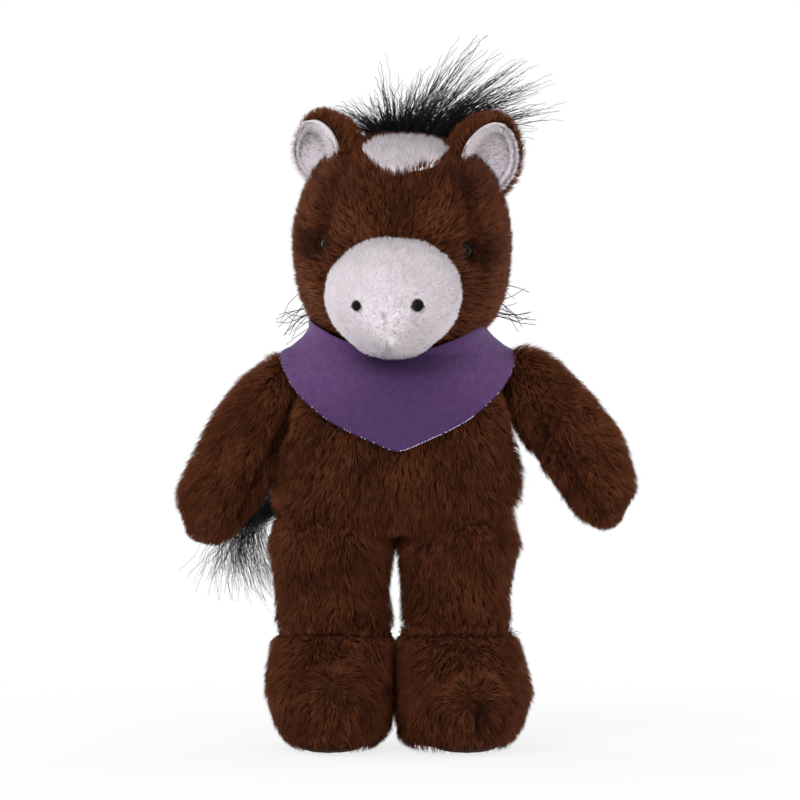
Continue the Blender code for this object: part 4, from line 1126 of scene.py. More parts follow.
for earName, ear in ears.items():
    back, facing = earCup(earName + "Back", ear, 0.0, earCups["wall"])
    lining, _ = earCup(earName + "Lining", ear, earCups["lining"], 0.8 * mm, 0.4)
    linedPoints = readPoints(lining.data)
    writePoints(lining.data, linedPoints + (np.array([ear["outward"], 0, 0]) + facing * 0.9) * mm)
    finishPiece(back, backingLook, ear["body"], ear["nodes"][:1])
    finishPiece(lining, whiteBackingLook, ear["body"], ear["nodes"][1:])
    rim = np.array(ear["rim"]) * mm
    heart = rim - facing * ear["depth"] * 0.45 * mm

    def outerSide(points, normals, heart=heart):
        return (unit(points - heart) * normals).sum(1) > 0.15

    def innerSide(points, normals, ahead=rim + facing * 12 * mm):
        return (unit(ahead - points) * normals).sum(1) > -0.15

    def combBack(points, normals, facing=facing, rim=rim):
        atRim = smoothStep((points - rim) @ facing, -5 * mm, -1 * mm)[:, None]
        return facing * (0.5 - 0.6 * atRim) + np.array([0, 0, 0.75])

    def combLining(points, normals, facing=facing):
        return facing * 0.8 + np.array([0, 0, 0.35]) + normals * 0.0

    look = {**brownFur, "bent": 2600, "straight": 9000, "length": 5.4 * mm, "lean": (34, 66), "seed": ear["seed"]}
    strands, bent = growStrands(
        back, look, combBack, np.random.default_rng(ear["seed"]), neighbours=[(forms["headForm"], 1.0 * mm)],
        keep=outerSide,
    )
    # the fur is short where the lining folds over the rim's outer side
    outside = dot(unit(strands["root"] - rim), np.array([np.sign(ear["rim"][0]), 0, -0.35]))[:, 0]
    nearRim = (strands["root"] - rim) @ facing > -4 * mm
    shorten = np.where(nearRim & ear["foldedOut"], 1 - 0.6 * smoothStep(outside, 0.1, 0.5), 1)[:, None]
    for part in ("middle", "tip"):
        strands[part] = strands["root"] + (strands[part] - strands["root"]) * shorten
    if ear["foldedOut"]:
        bare = nearRim & (outside > 0.5)
        strands, bent = share(strands, ~bare), bent[~bare]
    earFur = strandPiece(earName + "Fur", strands, bent)
    finishPiece(earFur, furLook, ear["body"])
    look = {**whitePile, "straight": 26000, "length": 3.2 * mm, "seed": ear["seed"] + 1, "lean": (26, 52)}
    strands, bent = growStrands(
        lining, look, combLining, np.random.default_rng(ear["seed"] + 1),
        neighbours=[(forms["headForm"], 1.0 * mm)], keep=innerSide,
    )
    # a soft roll along the lip: its pile stands up, and is shorter on the outer side
    onLip = smoothStep((strands["root"] - rim) @ facing, -9.0 * mm, 0.0)[:, None]
    away = strands["root"] - rim
    away = unit(away - dot(away, facing[None]) * facing)
    onOuter = smoothStep(dot(strands["normal"], away), 0.0, 0.7)
    standing = unit(facing * 0.7 + strands["normal"] * 0.75)
    for part in ("middle", "tip"):
        shift = strands[part] - strands["root"]
        stood = standing * np.linalg.norm(shift, axis=1)[:, None]
        shift = (shift + (stood - shift) * 0.75 * onLip) * (1 + 0.3 * onLip) * (1 - 0.5 * onOuter)
        strands[part] = strands["root"] + shift
    # painted light: the pile on the lip is painted lighter than the pile deeper in the cup, which lies in shade
    strands["tone"] += 0.16 * onLip[:, 0]
    liningPile = strandPiece(earName + "Pile", strands, bent)
    finishPiece(liningPile, pileLook, ear["body"])
    print("ear", earName, len(earFur.data.polygons), len(liningPile.data.polygons))

# wiry black hair


def wirePiece(name, paths, radius, tones, body, replaced=(), look=wireLook, tipShare=0.35):
    # three-sided closed wires that thin towards their tips, each path with the same number of points
    count, steps = paths.shape[:2]
    ways = unit(np.gradient(paths, axis=1))
    seedWay = np.array([0.31, 0.83, 0.46])
    side = unit(np.cross(ways, seedWay))
    ridge = np.cross(side, ways)
    taper = np.linspace(1, tipShare, steps)[None, :, None] * radius[:, None, None]
    corners = np.stack(
        [
            paths + (side * math.cos(turn) + ridge * math.sin(turn)) * taper
            for turn in (0, 2 * math.pi / 3, 4 * math.pi / 3)
        ],
        2,
    )
    height = np.linspace(0.04, 0.96, steps)
    tone = np.clip(tones, 0.03, 0.97)
    places = np.empty((count, steps, 3, 2))
    for corner, shift in enumerate((-toneWidth, toneWidth, 0)):
        places[:, :, corner, 0] = tone[:, None] + shift
        places[:, :, corner, 1] = height[None, :] + (0.02 if corner == 2 else 0)
    pattern = [(2, 1, 0)]
    for step in range(steps - 1):
        here, after = step * 3, step * 3 + 3
        for a, b in ((0, 1), (1, 2), (2, 0)):
            pattern += [(here + a, here + b, after + b), (here + a, after + b, after + a)]
    last = (steps - 1) * 3
    pattern.append((last, last + 1, last + 2))
    faces = (np.array(pattern)[None] + (np.arange(count) * steps * 3)[:, None, None]).reshape(-1, 3)
    piece = buildMesh(name, corners.reshape(-1, 3), faces, places.reshape(-1, 2))
    finishPiece(piece, look, body, replaced)
    print("hair", name, len(piece.data.polygons))
    return piece


def curvedPaths(starts, bends, ends, steps, kink, draw, crinkle=0.0):
    # smooth three-point curves with a little waviness that grows towards the tip
    share = np.linspace(0, 1, steps)[None, :, None]
    start, bend, end = starts[:, None], bends[:, None], ends[:, None]
    paths = start * (1 - share) ** 2 + bend * 2 * share * (1 - share) + end * share**2
    count = len(starts)
    for wave in (1.6, 3.1, 5.3):
        phase = draw.uniform(0, 6.28, (count, 1, 3))
        reach = draw.normal(size=(count, 1, 3)) * kink / wave
        paths = paths + reach * np.sin(share * wave * 6.28 + phase) * share
    return paths + draw.normal(size=paths.shape) * crinkle * np.minimum(1, share * 3)


hair = {
    "forelock": {"steps": 15, "radius": 0.185 * mm, "kink": 0.85 * mm, "crinkle": 0.22 * mm, "seed": 201},
    "mane": {"strands": 1200, "wisps": 14, "steps": 9, "radius": 0.17 * mm, "kink": 0.8 * mm, "seed": 211},
    "tail": {"strands": 300, "steps": 13, "radius": 0.15 * mm, "kink": 2.3 * mm, "seed": 221},
}
# each lock of the forelock: its root's pixel, its lean from upright in degrees, its length in pixels, strands
locks = [
    (381, -62, 56, 40), (384, -51, 54, 44), (386, -38, 44, 40), (389, -22, 44, 44), (392, -8, 80, 20),
    (395, -2, 46, 44), (399, 6, 54, 46), (403, 15, 64, 50), (408, 24, 88, 42), (413, 30, 112, 54), (419, 36, 104, 48),
    (425, 42, 84, 50), (430, 48, 104, 70), (434, 53, 112, 66), (437, 60, 108, 54), (440, 66, 104, 40),
    (441, 72, 118, 34), (440, 77, 92, 18), (384, -34, 26, 60), (394, -14, 26, 80), (405, 4, 27, 90),
    (416, 18, 27, 80), (427, 34, 26, 56), (435, 50, 26, 30),
]
headTree, _, _ = keptTree(forms["headForm"])

# forelock: locks on the crown, fanned to both sides and longest to the toy's left
tuft = hair["forelock"]
draw = np.random.default_rng(tuft["seed"])
lockRows = np.repeat(np.array(locks, float), [int(row[3] * 1.25) for row in locks], axis=0)
count = len(lockRows)
starts = np.stack(
    [photoX(lockRows[:, 0] + draw.normal(0, 2.9, count)), draw.normal(3.6, 2.0, count) * mm, np.zeros(count)], 1
)
for index in range(count):
    hit = headTree.ray_cast(Vector((starts[index, 0], starts[index, 1], 0.3)), Vector((0, 0, -1)))
    starts[index, 2] = hit[0].z + 0.3 * mm if hit[0] is not None else 234 * mm
lean = np.radians(lockRows[:, 1] + draw.normal(0, 3.9, count))
length = lockRows[:, 2] * photo["pixel"] * draw.beta(1.9, 1.8, count) * 1.24
length = np.maximum(length, 7 * mm)
depthLean = np.radians(draw.normal(-5, 8, count) + 20 * smoothStep(np.abs(lockRows[:, 1]), 42, 66))
up = np.stack([np.sin(lean), np.sin(depthLean), np.cos(lean)], 1)
droop = np.stack([np.sign(lean) * 0.04, np.zeros(count), -0.03 * np.abs(np.sin(lean))], 1) * length[:, None]
ends = starts + unit(up) * length[:, None] + droop
ends[:, 2] = np.minimum(ends[:, 2], 275 * mm)
bends = starts + unit(up * [0.9, 1, 1.12]) * (length * 0.52)[:, None]
paths = curvedPaths(starts, bends, ends, tuft["steps"], tuft["kink"], draw, tuft["crinkle"])
forelockHair = wirePiece(
    "forelockHair", paths, tuft["radius"] * draw.uniform(0.7, 1.3, count),
    0.35 + 0.2 * draw.normal(size=count), "head", ("forelock",),
)

# mane: from the crown down the back of the head, a few long wisps out to both sides of the neck
strip = hair["mane"]
draw = np.random.default_rng(strip["seed"])
count = strip["strands"]
down = draw.uniform(0, 1, count)
wisps = np.arange(count) < 2 * strip["wisps"]
down[wisps] = draw.uniform(0.86, 1.0, wisps.sum())
starts, outs = np.empty((count, 3)), np.empty((count, 3))
for index, share01 in enumerate(down):
    turn = math.radians(98 - 124 * share01)  # from just behind the crown to the nape
    way = Vector((draw.normal(0, 0.075), math.cos(turn), math.sin(turn)))
    hit = headTree.ray_cast(Vector(headMiddle) + way * 0.2, -way)
    starts[index] = hit[0] + hit[1] * 0.2 * mm
    outs[index] = hit[1]
low = smoothStep(down, 0.55, 0.95)
length = (15 + 4 * low) * draw.uniform(0.5, 1.2, count) * mm
fall = np.stack([draw.normal(0, 0.6, count), np.full(count, 0.02), -1.0 + 0.1 * low], 1)
bends = starts + outs * (length * 0.5)[:, None] + unit(fall) * (length * 0.12)[:, None]
ends = starts + outs * (length * 0.3)[:, None] + unit(fall) * (length * 0.85)[:, None]
sideways = np.where(np.arange(count) % 2, 1, -1)[wisps]
wispCount = int(wisps.sum())
ends[wisps, 0] = np.where(
    sideways < 0, photoX(draw.uniform(273, 295, wispCount)), photoX(draw.uniform(508, 543, wispCount))
)
ends[wisps, 1] = draw.uniform(2, 18, wispCount) * mm
ends[wisps, 2] = np.where(
    sideways < 0, photoZ(draw.uniform(312, 342, wispCount)), photoZ(draw.uniform(288, 329, wispCount))
)
bends[wisps, 0] = sideways * draw.uniform(28, 38, wispCount) * mm
bends[wisps, 1] = draw.uniform(26, 37, wispCount) * mm
bends[wisps, 2] = draw.uniform(158, 190, wispCount) * mm
kink = strip["kink"] * np.where(wisps, 1.8, 1)[:, None, None]
paths = curvedPaths(starts, bends, ends, strip["steps"], kink, draw, 0.14 * mm)
radius = strip["radius"] * draw.uniform(0.75, 1.2, count) * np.where(wisps, 1.9, 1)
tones = np.where(wisps, 0.06, 0.3) + 0.12 * draw.normal(size=count)
maneHair = wirePiece("maneHair", paths, radius, tones, "head", ("mane",))

# tail: out of its tab, behind the right arm, then fanned down
tail = hair["tail"]
draw = np.random.default_rng(tail["seed"])
count = tail["strands"]
tabLow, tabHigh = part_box("tail_base")
tab = np.array((tabLow + tabHigh) / 2)
starts = tab + draw.normal(0, 1, (count, 3)) * np.array([1.6, 0.6, 1.8]) * mm
starts[:, 1] = tabHigh.y - 0.4 * mm
clumps = draw.integers(0, 60, count)
aim = np.clip(draw.uniform(0, 1, 60)[clumps] + draw.normal(0, 0.04, count), 0, 1)
clumpDrop = draw.normal(0, 7, 60)[clumps]
endX = 184 + 84 * aim + draw.normal(0, 3.0, count)
endY = 584 + 30 * aim**2 + clumpDrop + draw.normal(0, 6, count)
endY = np.minimum(endY, 628)
turnX, turnY = 260 + draw.normal(0, 4, count), 517 + draw.normal(0, 8, count)
tabX, tabY = 390.0, 512.0
bendX, bendY = 2 * (turnX - 0.25 * (tabX + endX)), 2 * (turnY - 0.25 * (tabY + endY))
ends = np.stack([photoX(endX), draw.normal(50, 4, count) * mm, photoZ(endY)], 1)
ends = starts + (ends - starts) * draw.uniform(0.8, 1.03, count)[:, None]
bends = np.stack([photoX(bendX), draw.normal(55, 2.5, count) * mm, photoZ(bendY)], 1)
paths = curvedPaths(starts, bends, ends, tail["steps"], tail["kink"], draw, 0.4 * mm)
tailHair = wirePiece(
    "tailHair", paths, tail["radius"] * draw.uniform(0.75, 1.2, count),
    0.5 + 0.22 * draw.normal(size=count), "tail", ("tail_hair",),
)

# neckerchief


def makeWeaveGroup():
    # warp and weft on the cloth's own map, in millimetres: a colour, a shade of the gaps, painted light high on the
    # shoulders, and a height
    group, given, result = newGroup(
        "plainWeave",
        [
            ("Thread", "NodeSocketColor", (0.2, 0.1, 0.3, 1)),
            ("Gap", "NodeSocketColor", (0.1, 0.05, 0.15, 1)),
            ("Painted Light", "NodeSocketColor", (0.3, 0.15, 0.4, 1)),
            ("Pitch", "NodeSocketFloat", 0.6),
        ],
        [("Colour", "NodeSocketColor"), ("Height", "NodeSocketFloat")],
    )
    place = addNode(group, "UVMap", uv_map="clothMap").outputs["UV"]
    split = addNode(group, "SeparateXYZ", {"Vector": place})
    turns = calculate(group, "DIVIDE", 2 * math.pi, given.outputs["Pitch"])
    waves = [
        calculate(group, "SINE", calculate(group, "MULTIPLY", split.outputs[axis], turns))
        for axis in ("X", "Y")
    ]
    height = mapRange(group, calculate(group, "MULTIPLY", *waves), -1.0, 1.0)
    slub = addNode(group, "TexNoise", {"Vector": place, "Scale": 0.35, "Detail": 4.0})
    raised = calculate(group, "MULTIPLY", height, 0.55)
    tone = calculate(group, "MULTIPLY_ADD", slub.outputs["Fac"], 0.6, raised)
    # painted light: the cloth is painted lighter high on the shoulders, where the light falls, than at its middle and
    # its point
    where = addNode(group, "TexCoord")
    spread = addNode(group, "SeparateXYZ", {"Vector": where.outputs["Object"]})
    side = calculate(group, "ABSOLUTE", spread.outputs["X"])
    high = mapRange(group, spread.outputs["Z"], 0.122, 0.150, interpolation_type="SMOOTHSTEP")
    far = mapRange(group, side, 0.004, 0.034, interpolation_type="SMOOTHSTEP")
    paintedLight = calculate(group, "MULTIPLY", high, far)
    threads = mixColours(group, paintedLight, given.outputs["Thread"], given.outputs["Painted Light"])
    colours = mixColours(group, tone, given.outputs["Gap"], threads)
    group.links.new(colours, result.inputs["Colour"])
    group.links.new(height, result.inputs["Height"])
    return group


clothLook, clothTree, clothShader = newMaterial(
    "purpleWeave", 0.7, Specular_IOR_Level=0.15, Sheen_Weight=0.06, Sheen_Roughness=0.5,
)
# the weave's colours: the threads, the gaps, and the lighter colour painted high on the shoulders as painted light
weave = {
    "Thread": (0.088, 0.037, 0.134, 1), "Gap": (0.022, 0.009, 0.037, 1),
    "Painted Light": (0.160, 0.070, 0.220, 1), "Pitch": 0.92,
}
coat(clothTree, clothShader, makeWeaveGroup(), weave, bump=0.35, depth=0.12 * mm)

kerchief = {
    "around": 216, "down": 44, "halfWidth": 46.6 * mm, "fullness": 2.6, "neckFront": 24.5 * mm,
    "neckBack": 26 * mm, "backRim": 152 * mm, "backLow": 139.5 * mm, "lift": 0.7 * mm,
    "thickness": 0.55 * mm, "fold": 0.5 * mm, "shiftX": -2.184 * mm, "shiftY": -0.47 * mm,
    # from the middle outward: the height of the upper rim and of the lower edge, all in mm
    "rim": [(0, 153.2), (8, 153.8), (13, 155.1), (18, 156.8), (22, 158.2), (27, 160.4), (32, 163.4),
            (34.4, 165.8)],
    "edge": [(0, 115.6), (4, 117.3), (10, 119.9), (19.5, 123.8), (28, 128.3), (35.5, 134), (40.5, 139),
             (44, 144.2), (46, 149), (46.6, 151.4)],
    "sides": [(150.5, 45.4), (152.6, 43.8), (154.2, 40.4), (158, 35.9), (161.7, 32.9), (166, 32.5)],
}
torsoLevels = [0.05, 0.17, 0.34, 0.52, 0.70, 0.87, 0.965]
torsoFronts = [0.16, 0.65, 0.98, 1.0, 0.94, 0.82, 0.63]
torsoBacks = [0.80, 0.98, 1.0, 0.96, 0.88, 0.77, 0.58]


def fromTable(value, table):
    rows = np.array(table) * mm
    return float(np.interp(value, rows[:, 0], rows[:, 1]))


def torsoDepth(z, front):
    level = (z / mm - 74.5) / 80.5
    if front:
        return max(kerchief["neckFront"], 42 * mm * float(np.interp(level, torsoLevels, torsoFronts)))
    return max(kerchief["neckBack"], 39 * mm * float(np.interp(level, torsoLevels, torsoBacks)))


def kerchiefPoint(angle, down):
    # a point of the cloth: down is 0 at the neckline and 1 at the lower edge
    ahead = math.cos(angle)
    across = abs(math.sin(angle)) ** (2 / kerchief["fullness"])
    topZ = fromTable(across * 34.4 * mm, kerchief["rim"])
    lowZ = fromTable(across * kerchief["halfWidth"], kerchief["edge"])
    if ahead < 0:
        behind = ahead**2
        topZ += (kerchief["backRim"] - topZ) * behind
        sideZ = fromTable(kerchief["halfWidth"], kerchief["edge"])
        lowZ = sideZ + (kerchief["backLow"] - sideZ) * behind
    z = topZ + (lowZ - topZ) * down
    sideTop = fromTable(34.4 * mm, kerchief["rim"])
    # the height at the side of this ring decides how wide the ring is
    sideZ = sideTop + (fromTable(kerchief["halfWidth"], kerchief["edge"]) - sideTop) * down
    wide = fromTable(sideZ, kerchief["sides"])
    depth = torsoDepth(z, ahead > 0)
    reach = math.copysign(abs(ahead) ** (2 / kerchief["fullness"]), ahead)
    return (
        wide * math.copysign(across, math.sin(angle)) + kerchief["shiftX"],
        -depth * reach + kerchief["shiftY"],
        z,
    )


def clothGrid(name, grid, thickness):
    # a sheet from rows of points, closed round where the last row meets the first, with its map in mm
    around, down = grid.shape[:2]
    corners = grid.reshape(-1, 3)
    closed = name == "neckerchiefCloth"
    spans = around if closed else around - 1
    stepAround = np.linalg.norm(np.roll(grid, -1, 0) - grid, axis=2).mean(1)
    stepDown = np.linalg.norm(np.diff(grid, axis=1), axis=2)
    alongMap = np.concatenate([[0], np.cumsum(stepAround)]) / mm
    downMap = np.concatenate([np.zeros((around, 1)), np.cumsum(stepDown, 1)], 1) / mm
    faces, places = [], []
    for i in range(spans):
        j = (i + 1) % around
        for k in range(down - 1):
            faces.append((i * down + k, i * down + k + 1, j * down + k + 1, j * down + k))
            places += [
                (alongMap[i], downMap[i, k]), (alongMap[i], downMap[i, k + 1]),
                (alongMap[i + 1], downMap[j, k + 1]), (alongMap[i + 1], downMap[j, k]),
            ]
    mesh = bpy.data.meshes.new(name)
    mesh.from_pydata([tuple(c) for c in corners], [], faces)
    clothMap = mesh.uv_layers.new(name="clothMap")
    clothMap.uv.foreach_set("vector", np.array(places, np.float32).ravel())
    piece = addObject(name, mesh)
    area = sum(face.area for face in mesh.polygons)
    addModifier(piece, "SOLIDIFY", thickness=thickness, offset=1, use_even_offset=True)
    applyModifiers(piece)
    return piece, area


downShares = np.linspace(0, 1, kerchief["down"])
grid = np.array(
    [
        [kerchiefPoint(2 * math.pi * i / kerchief["around"], down) for down in downShares]
        for i in range(kerchief["around"])
    ]
)
for _ in range(2):  # eases the lines where the neck meets the chest
    grid[:, 1:-1] = (grid[:, :-2] + 2 * grid[:, 1:-1] + grid[:, 2:]) / 4
    grid = (np.roll(grid, 1, 0) + 2 * grid + np.roll(grid, -1, 0)) / 4
acrossWay = np.roll(grid, -1, 0) - np.roll(grid, 1, 0)
downWay = np.gradient(grid, axis=1)
outWay = unit(np.cross(downWay, acrossWay))
folds = softNoise(grid.reshape(-1, 3) * [1, 1, 0.45], 22 * mm, 301).reshape(grid.shape[:2])
grid = grid + outWay * (kerchief["lift"] + kerchief["fold"] * folds)[:, :, None]
cloth, clothArea = clothGrid("neckerchiefCloth", grid, kerchief["thickness"])
finishPiece(cloth, clothLook, "torso", ("neckerchief",))
print("neckerchief area", clothArea)

# the lower edge: a rolled hem with pale overlock stitches
hem = {
    "radius": 0.34 * mm, "stitchEvery": 1.25 * mm, "stitchLength": 0.95 * mm, "stitchRadius": 0.2 * mm,
    "seed": 311,
}
edge = grid[:, -1] + outWay[:, -1] * kerchief["thickness"] / 2
hemCurve = bpy.data.curves.new("neckerchiefHem", "CURVE")
hemCurve.dimensions = "3D"
hemCurve.bevel_depth = hem["radius"]
hemCurve.bevel_resolution = 1
hemLine = hemCurve.splines.new("POLY")
hemLine.points.add(len(edge) - 1)
for point, place in zip(hemLine.points, edge):
    point.co = (*place, 1)
hemLine.use_cyclic_u = True
hemPiece = addObject("neckerchiefHem", hemCurve)
takeUp(hemPiece)
bpy.ops.object.convert(target="MESH")
hemLook = mottleMaterial(
    "purpleHemThread", (0.022, 0.010, 0.036), (0.06, 0.028, 0.09), 2600, 300, 0.8, 0.5, 0.1 * mm,
    Specular_IOR_Level=0.1,
)
finishPiece(hemPiece, hemLook, "torso")

draw = np.random.default_rng(hem["seed"])
closedEdge = np.vstack([edge, edge[:1]])
edgeOut = np.vstack([outWay[:, -1], outWay[:1, -1]])
edgeAlong = np.concatenate([[0], np.cumsum(np.linalg.norm(np.diff(closedEdge, axis=0), axis=1))])
marks = np.arange(0, edgeAlong[-1], hem["stitchEvery"])
marks = marks + draw.uniform(-0.2, 0.2, len(marks)) * mm
place = np.stack([np.interp(marks, edgeAlong, closedEdge[:, axis]) for axis in range(3)], 1)
ahead = np.stack([np.interp(marks + 0.1 * mm, edgeAlong, closedEdge[:, axis]) for axis in range(3)], 1)
outAt = unit(np.stack([np.interp(marks, edgeAlong, edgeOut[:, axis]) for axis in range(3)], 1))
tangent = unit(ahead - place)
clear = (place[:, 0] > photoX(398)) & (place[:, 0] < photoX(474)) & (place[:, 1] < 0)
shown = draw.random(len(marks)) < np.where(clear, 0.97, 0.3)
size = (hem["stitchLength"] * draw.uniform(0.7, 1.25, len(marks)) * np.where(clear, 1.25, 0.6))[:, None]
downEdge = unit(np.cross(tangent, outAt))
middle = place + outAt * (hem["radius"] + 0.05 * mm)
share3 = np.linspace(-0.5, 0.5, 3)[None, :, None]
slant = unit(tangent + downEdge * draw.normal(0, 0.25, (len(marks), 1)))
paths = middle[:, None] + slant[:, None] * size[:, None] * share3
paths[:, 1] += outAt * 0.12 * mm
paths = paths[shown]
stitches = wirePiece(
    "neckerchiefStitches", paths, np.full(len(paths), hem["stitchRadius"]),
    np.full(len(paths), 0.7), "torso", (), overlockLook,
)

# the knot behind: a wrapped ball of cloth and two pointed ends
knot = {"middle": (-2.2, 34.4, 146.5), "size": (8.6, 5.6, 6.4), "seed": 321}
deselectAll()
bpy.ops.mesh.primitive_uv_sphere_add(segments=40, ring_count=22, radius=1)
knotBall = bpy.context.active_object
knotBall.name = "neckerchiefKnot"
shape = readPoints(knotBall.data)
turn = np.arctan2(shape[:, 2], shape[:, 0])
crease = 0.10 * np.sin(turn * 2 + 3.2 * shape[:, 1] + 0.6) + 0.05 * np.sin(turn * 5 + 5 * shape[:, 1])
pinch = 1 - 0.22 * np.exp(-((shape[:, 0] / 0.28) ** 2))
shape = shape * (1 + crease * np.sqrt(np.clip(1 - shape[:, 1] ** 2, 0, 1)))[:, None]
shape[:, 2] *= pinch
writePoints(knotBall.data, (shape * knot["size"] + knot["middle"]) * mm)
knotMap = knotBall.data.uv_layers[0]
knotMap.name = "clothMap"
mapValues = np.empty(len(knotBall.data.loops) * 2, np.float32)
knotMap.uv.foreach_get("vector", mapValues)
knotMap.uv.foreach_set("vector", mapValues * 42)
finishPiece(knotBall, clothLook, "torso", ("neckerchief_knot",))

ends = []
for side, reach, sink in ((-1, 15.5, 17.5), (1, 14.0, 18.5)):
    rows = []
    for i in range(15):
        across = i / 14 * 2 - 1
        row = []
        for k in range(19):
            out = k / 18
            if out < 0.7:
                half = 3.2 + 4.6 * math.sin(out / 0.7 * math.pi / 2)
            else:
                half = 7.8 * max(0.0, 1 - (out - 0.7) / 0.3) ** 0.8
            half = max(half, 0.25)
            ripple = 0.8 * math.sin(across * 3.4 + side) * out
            x = knot["middle"][0] + side * (4.0 + reach * out**0.9) + across * half * 0.72
            z = knot["middle"][2] - 1.5 - sink * out**1.1 + across * half * 0.62 * side
            onBack = torsoDepth(z * mm, False) / mm + 2.2
            y = knot["middle"][1] + 2 + (onBack - knot["middle"][1] - 2) * min(1, out * 1.6) + ripple
            row.append((x * mm, y * mm, z * mm))
        rows.append(row)
    name = "neckerchiefEndRight" if side < 0 else "neckerchiefEndLeft"
    end, endArea = clothGrid(name, np.array(rows), kerchief["thickness"])
    finishPiece(end, clothLook, "torso")
    ends.append(end)

# nostrils, eyes, soles and what is inside

nostrilStitches = {"rows": 9, "radius": 0.27 * mm, "seed": 331}
muzzleTree, _, _ = keptTree(muzzleForm)
for node, grow in (("nostril_right", 1.05), ("nostril_left", 1.25)):
    low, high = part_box(node)
    middle = (low + high) / 2 + Vector((0, 0, nostrilLift[node]))
    near, outward, _, _ = muzzleTree.find_nearest(middle)
    across = outward.cross(Vector((0, 0, 1))).normalized()
    upward = across.cross(outward).normalized()
    half = (high.z - low.z) / 2 * grow
    paths = []
    for row in range(nostrilStitches["rows"]):
        level = (row + 0.5) / nostrilStitches["rows"] * 2 - 1
        chord = math.sqrt(max(0.05, 1 - level**2)) * half * (1.25 if row == 3 else 1)
        path = []
        for step in range(7):
            share01 = step / 6 * 2 - 1
            bulge = math.sqrt(max(0.0, 1 - (share01 * 0.98) ** 2)) * (1 - level**2 * 0.6)
            aside = across * share01 * chord + upward * level * half
            path.append(near + aside + outward * (0.9 * mm + 0.9 * mm * bulge))
        paths.append([tuple(point) for point in path])
    wirePiece(
        node.replace("nostril_", "nostrilThread").replace("left", "Left").replace("right", "Right"),
        np.array(paths), np.full(len(paths), nostrilStitches["radius"] * half / (1.85 * mm)),
        np.full(len(paths), 0.4), "head", (node,), threadLook, 0.8,
    )

# the eyes with their washers, pressed into the fur by the stuffing's pull
for side in ("left", "right"):
    for node, pieceName, size, material, slotName in (
        ("eye_" + side, "eyeDome", eyeSlit["size"], eyeLook, "eye_plastic"),
        ("eye_washer_" + side, "eyeWasher", 1.0, washerLook, "washer_plastic"),
    ):
        pressed = copyNode(node, pieceName + side.capitalize())
        shape = readPoints(pressed.data)
        middle = (shape.min(0) + shape.max(0)) / 2
        writePoints(pressed.data, middle + (shape - middle) * size + unit(headMiddle - middle) * eyeSlit["deep"])
        finishPiece(pressed, material, "head", (node,))
for node in ("pellet_bag_left", "pellet_bag_right"):
    nodes[node].data.materials.clear()
    nodes[node].data.materials.append(pelletLook)
nodes["tail_base"].data.materials.clear()
nodes["tail_base"].data.materials.append(backingLook)
tabBody = nodes["tail_base"]["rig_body"]
tabLook = {**brownFur, "bent": 500, "straight": 2200, "length": 4.2 * mm, "seed": 341}
strands, bent = growStrands(
    nodes["tail_base"], tabLook, lambda points, normals: np.array([0, 0.8, -1.0]) + normals * 0.0,
    np.random.default_rng(341),
)
finishPiece(strandPiece("tailTabFur", strands, bent), furLook, tabBody)

for side in ("left", "right"):
    node, body = "sole_" + side, "leg_" + side
    panel = copyNode(node, "sole" + side.capitalize() + "Panel")
    shape = readPoints(panel.data)
    middle = (shape.min(0) + shape.max(0)) / 2
    writePoints(panel.data, middle + (shape - middle) * [0.78, 0.8, 1])
    addModifier(
        panel, "BEVEL", width=0.45 * mm, segments=2, limit_method="ANGLE", angle_limit=math.radians(40)
    )
    applyModifiers(panel)
    finishPiece(panel, soleLook, body, (node,))
print("small pieces ready")

# floor, light and camera

studio = {
    "floorSize": 6.0, "floorGlow": 0.8, "worldLight": 0.5,
    "cameraDistance": 2.0, "cameraHeight": 134.5 * mm, "elevation": 2.0, "frameWidth": 309.1 * mm,
}
deselectAll()
bpy.ops.mesh.primitive_plane_add(size=studio["floorSize"], location=(0, 0, 0))
floorPlane = bpy.context.active_object
floorPlane.name = "floor"
placeMesh(floorPlane)
floorLook, floorTree, floorShader = newMaterial("paleFloor", 0.9, Base_Color=(0.9, 0.9, 0.9, 1))
glow = addNode(floorTree, "Emission", {"Strength": 1.0})
rays = addNode(floorTree, "LightPath")
spot = addNode(floorTree, "TexCoord")
away = addNode(floorTree, "VectorMath", {0: spot.outputs["Object"]}, operation="LENGTH")
whiter = mapRange(
    floorTree, away.outputs["Value"], 0.06, 0.32, studio["floorGlow"], interpolation_type="SMOOTHSTEP"
)
seen = calculate(floorTree, "MULTIPLY", rays.outputs["Is Camera Ray"], whiter)
blended = addNode(
    floorTree, "MixShader", {"Fac": seen, 1: floorShader.outputs["BSDF"], 2: glow.outputs["Emission"]}
)
floorOut = floorTree.nodes["Material Output"]
floorTree.links.new(blended.outputs["Shader"], floorOut.inputs["Surface"])
floorPlane.data.materials.append(floorLook)
floorPlane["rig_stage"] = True

world = bpy.data.worlds.new("studioWorld")
bpy.context.scene.world = world
world.use_nodes = True
worldTree = world.node_tree
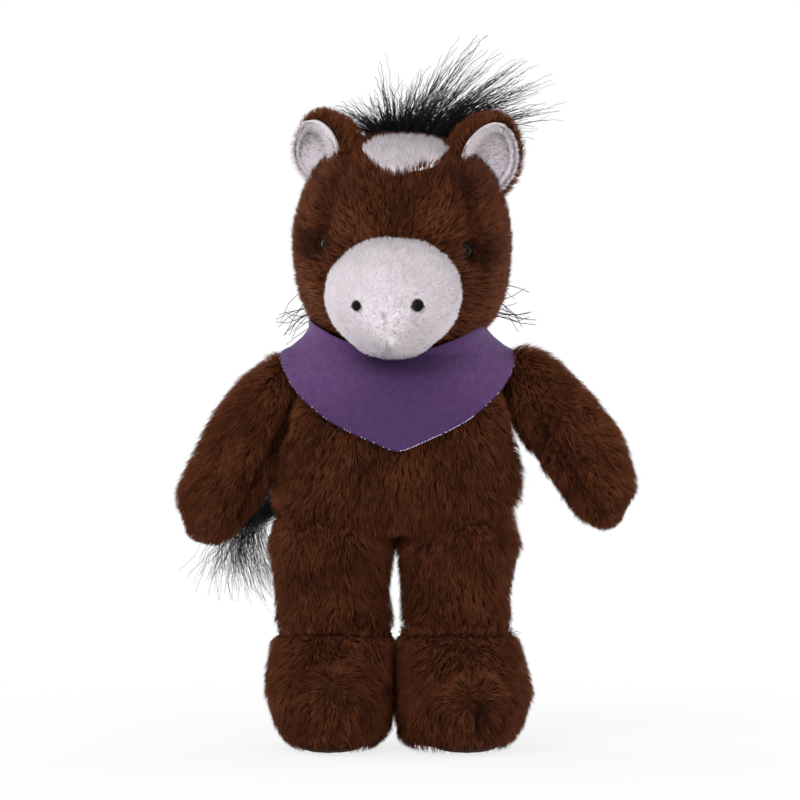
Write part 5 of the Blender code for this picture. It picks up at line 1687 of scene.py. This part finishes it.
worldTree.nodes.clear()
soft, white = (
    addNode(worldTree, "Background", {"Color": (1, 1, 1, 1), "Strength": strength}).outputs["Background"]
    for strength in (studio["worldLight"], 1.0)
)
rays = addNode(worldTree, "LightPath").outputs
glossy = calculate(worldTree, "MAXIMUM", rays["Is Glossy Ray"], rays["Is Transmission Ray"])
seen = calculate(worldTree, "MAXIMUM", rays["Is Camera Ray"], glossy)
worldMix = addNode(worldTree, "MixShader", {"Fac": seen, 1: soft, 2: white})
addNode(worldTree, "OutputWorld", {"Surface": worldMix.outputs["Shader"]})


def aimAt(thing, target):
    way = Vector(target) - thing.location
    thing.rotation_euler = way.to_track_quat("-Z", "Y").to_euler()


lamps = {
    "keyLamp": {"place": (-0.45, -0.9, 0.85), "size": 0.7, "power": 7.0},
    "fillLamp": {"place": (0.6, -1.0, 0.12), "size": 0.9, "power": 5.6},
    "leftRimLamp": {"place": (-0.8, 0.45, 0.35), "size": 0.6, "power": 3.0},
    "rightRimLamp": {"place": (0.8, 0.45, 0.35), "size": 0.6, "power": 3.0},
}
for lampName, lamp in lamps.items():
    data = bpy.data.lights.new(lampName, "AREA")
    data.energy = lamp["power"]
    data.shape = "SQUARE"
    data.size = lamp["size"]
    holder = addObject(lampName, data)
    holder.location = lamp["place"]
    aimAt(holder, (0, 0, 0.13))

cameraData = bpy.data.cameras.new("photoCamera")
cameraData.sensor_width = 36
cameraData.lens = 36 * studio["cameraDistance"] / studio["frameWidth"]
cameraObject = addObject("photoCamera", cameraData)
target = Vector((photoX(400), 0, studio["cameraHeight"]))
tilt = math.radians(studio["elevation"])
cameraObject.location = target + Vector((0, -math.cos(tilt), math.sin(tilt))) * studio["cameraDistance"]
aimAt(cameraObject, target)
bpy.context.scene.camera = cameraObject
bpy.context.scene.view_settings.view_transform = "Standard"

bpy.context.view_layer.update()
triangles = sum(
    sum(len(face.vertices) - 2 for face in piece.data.polygons)
    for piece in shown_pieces() if piece.type == "MESH"
)
print("triangles in all", triangles)
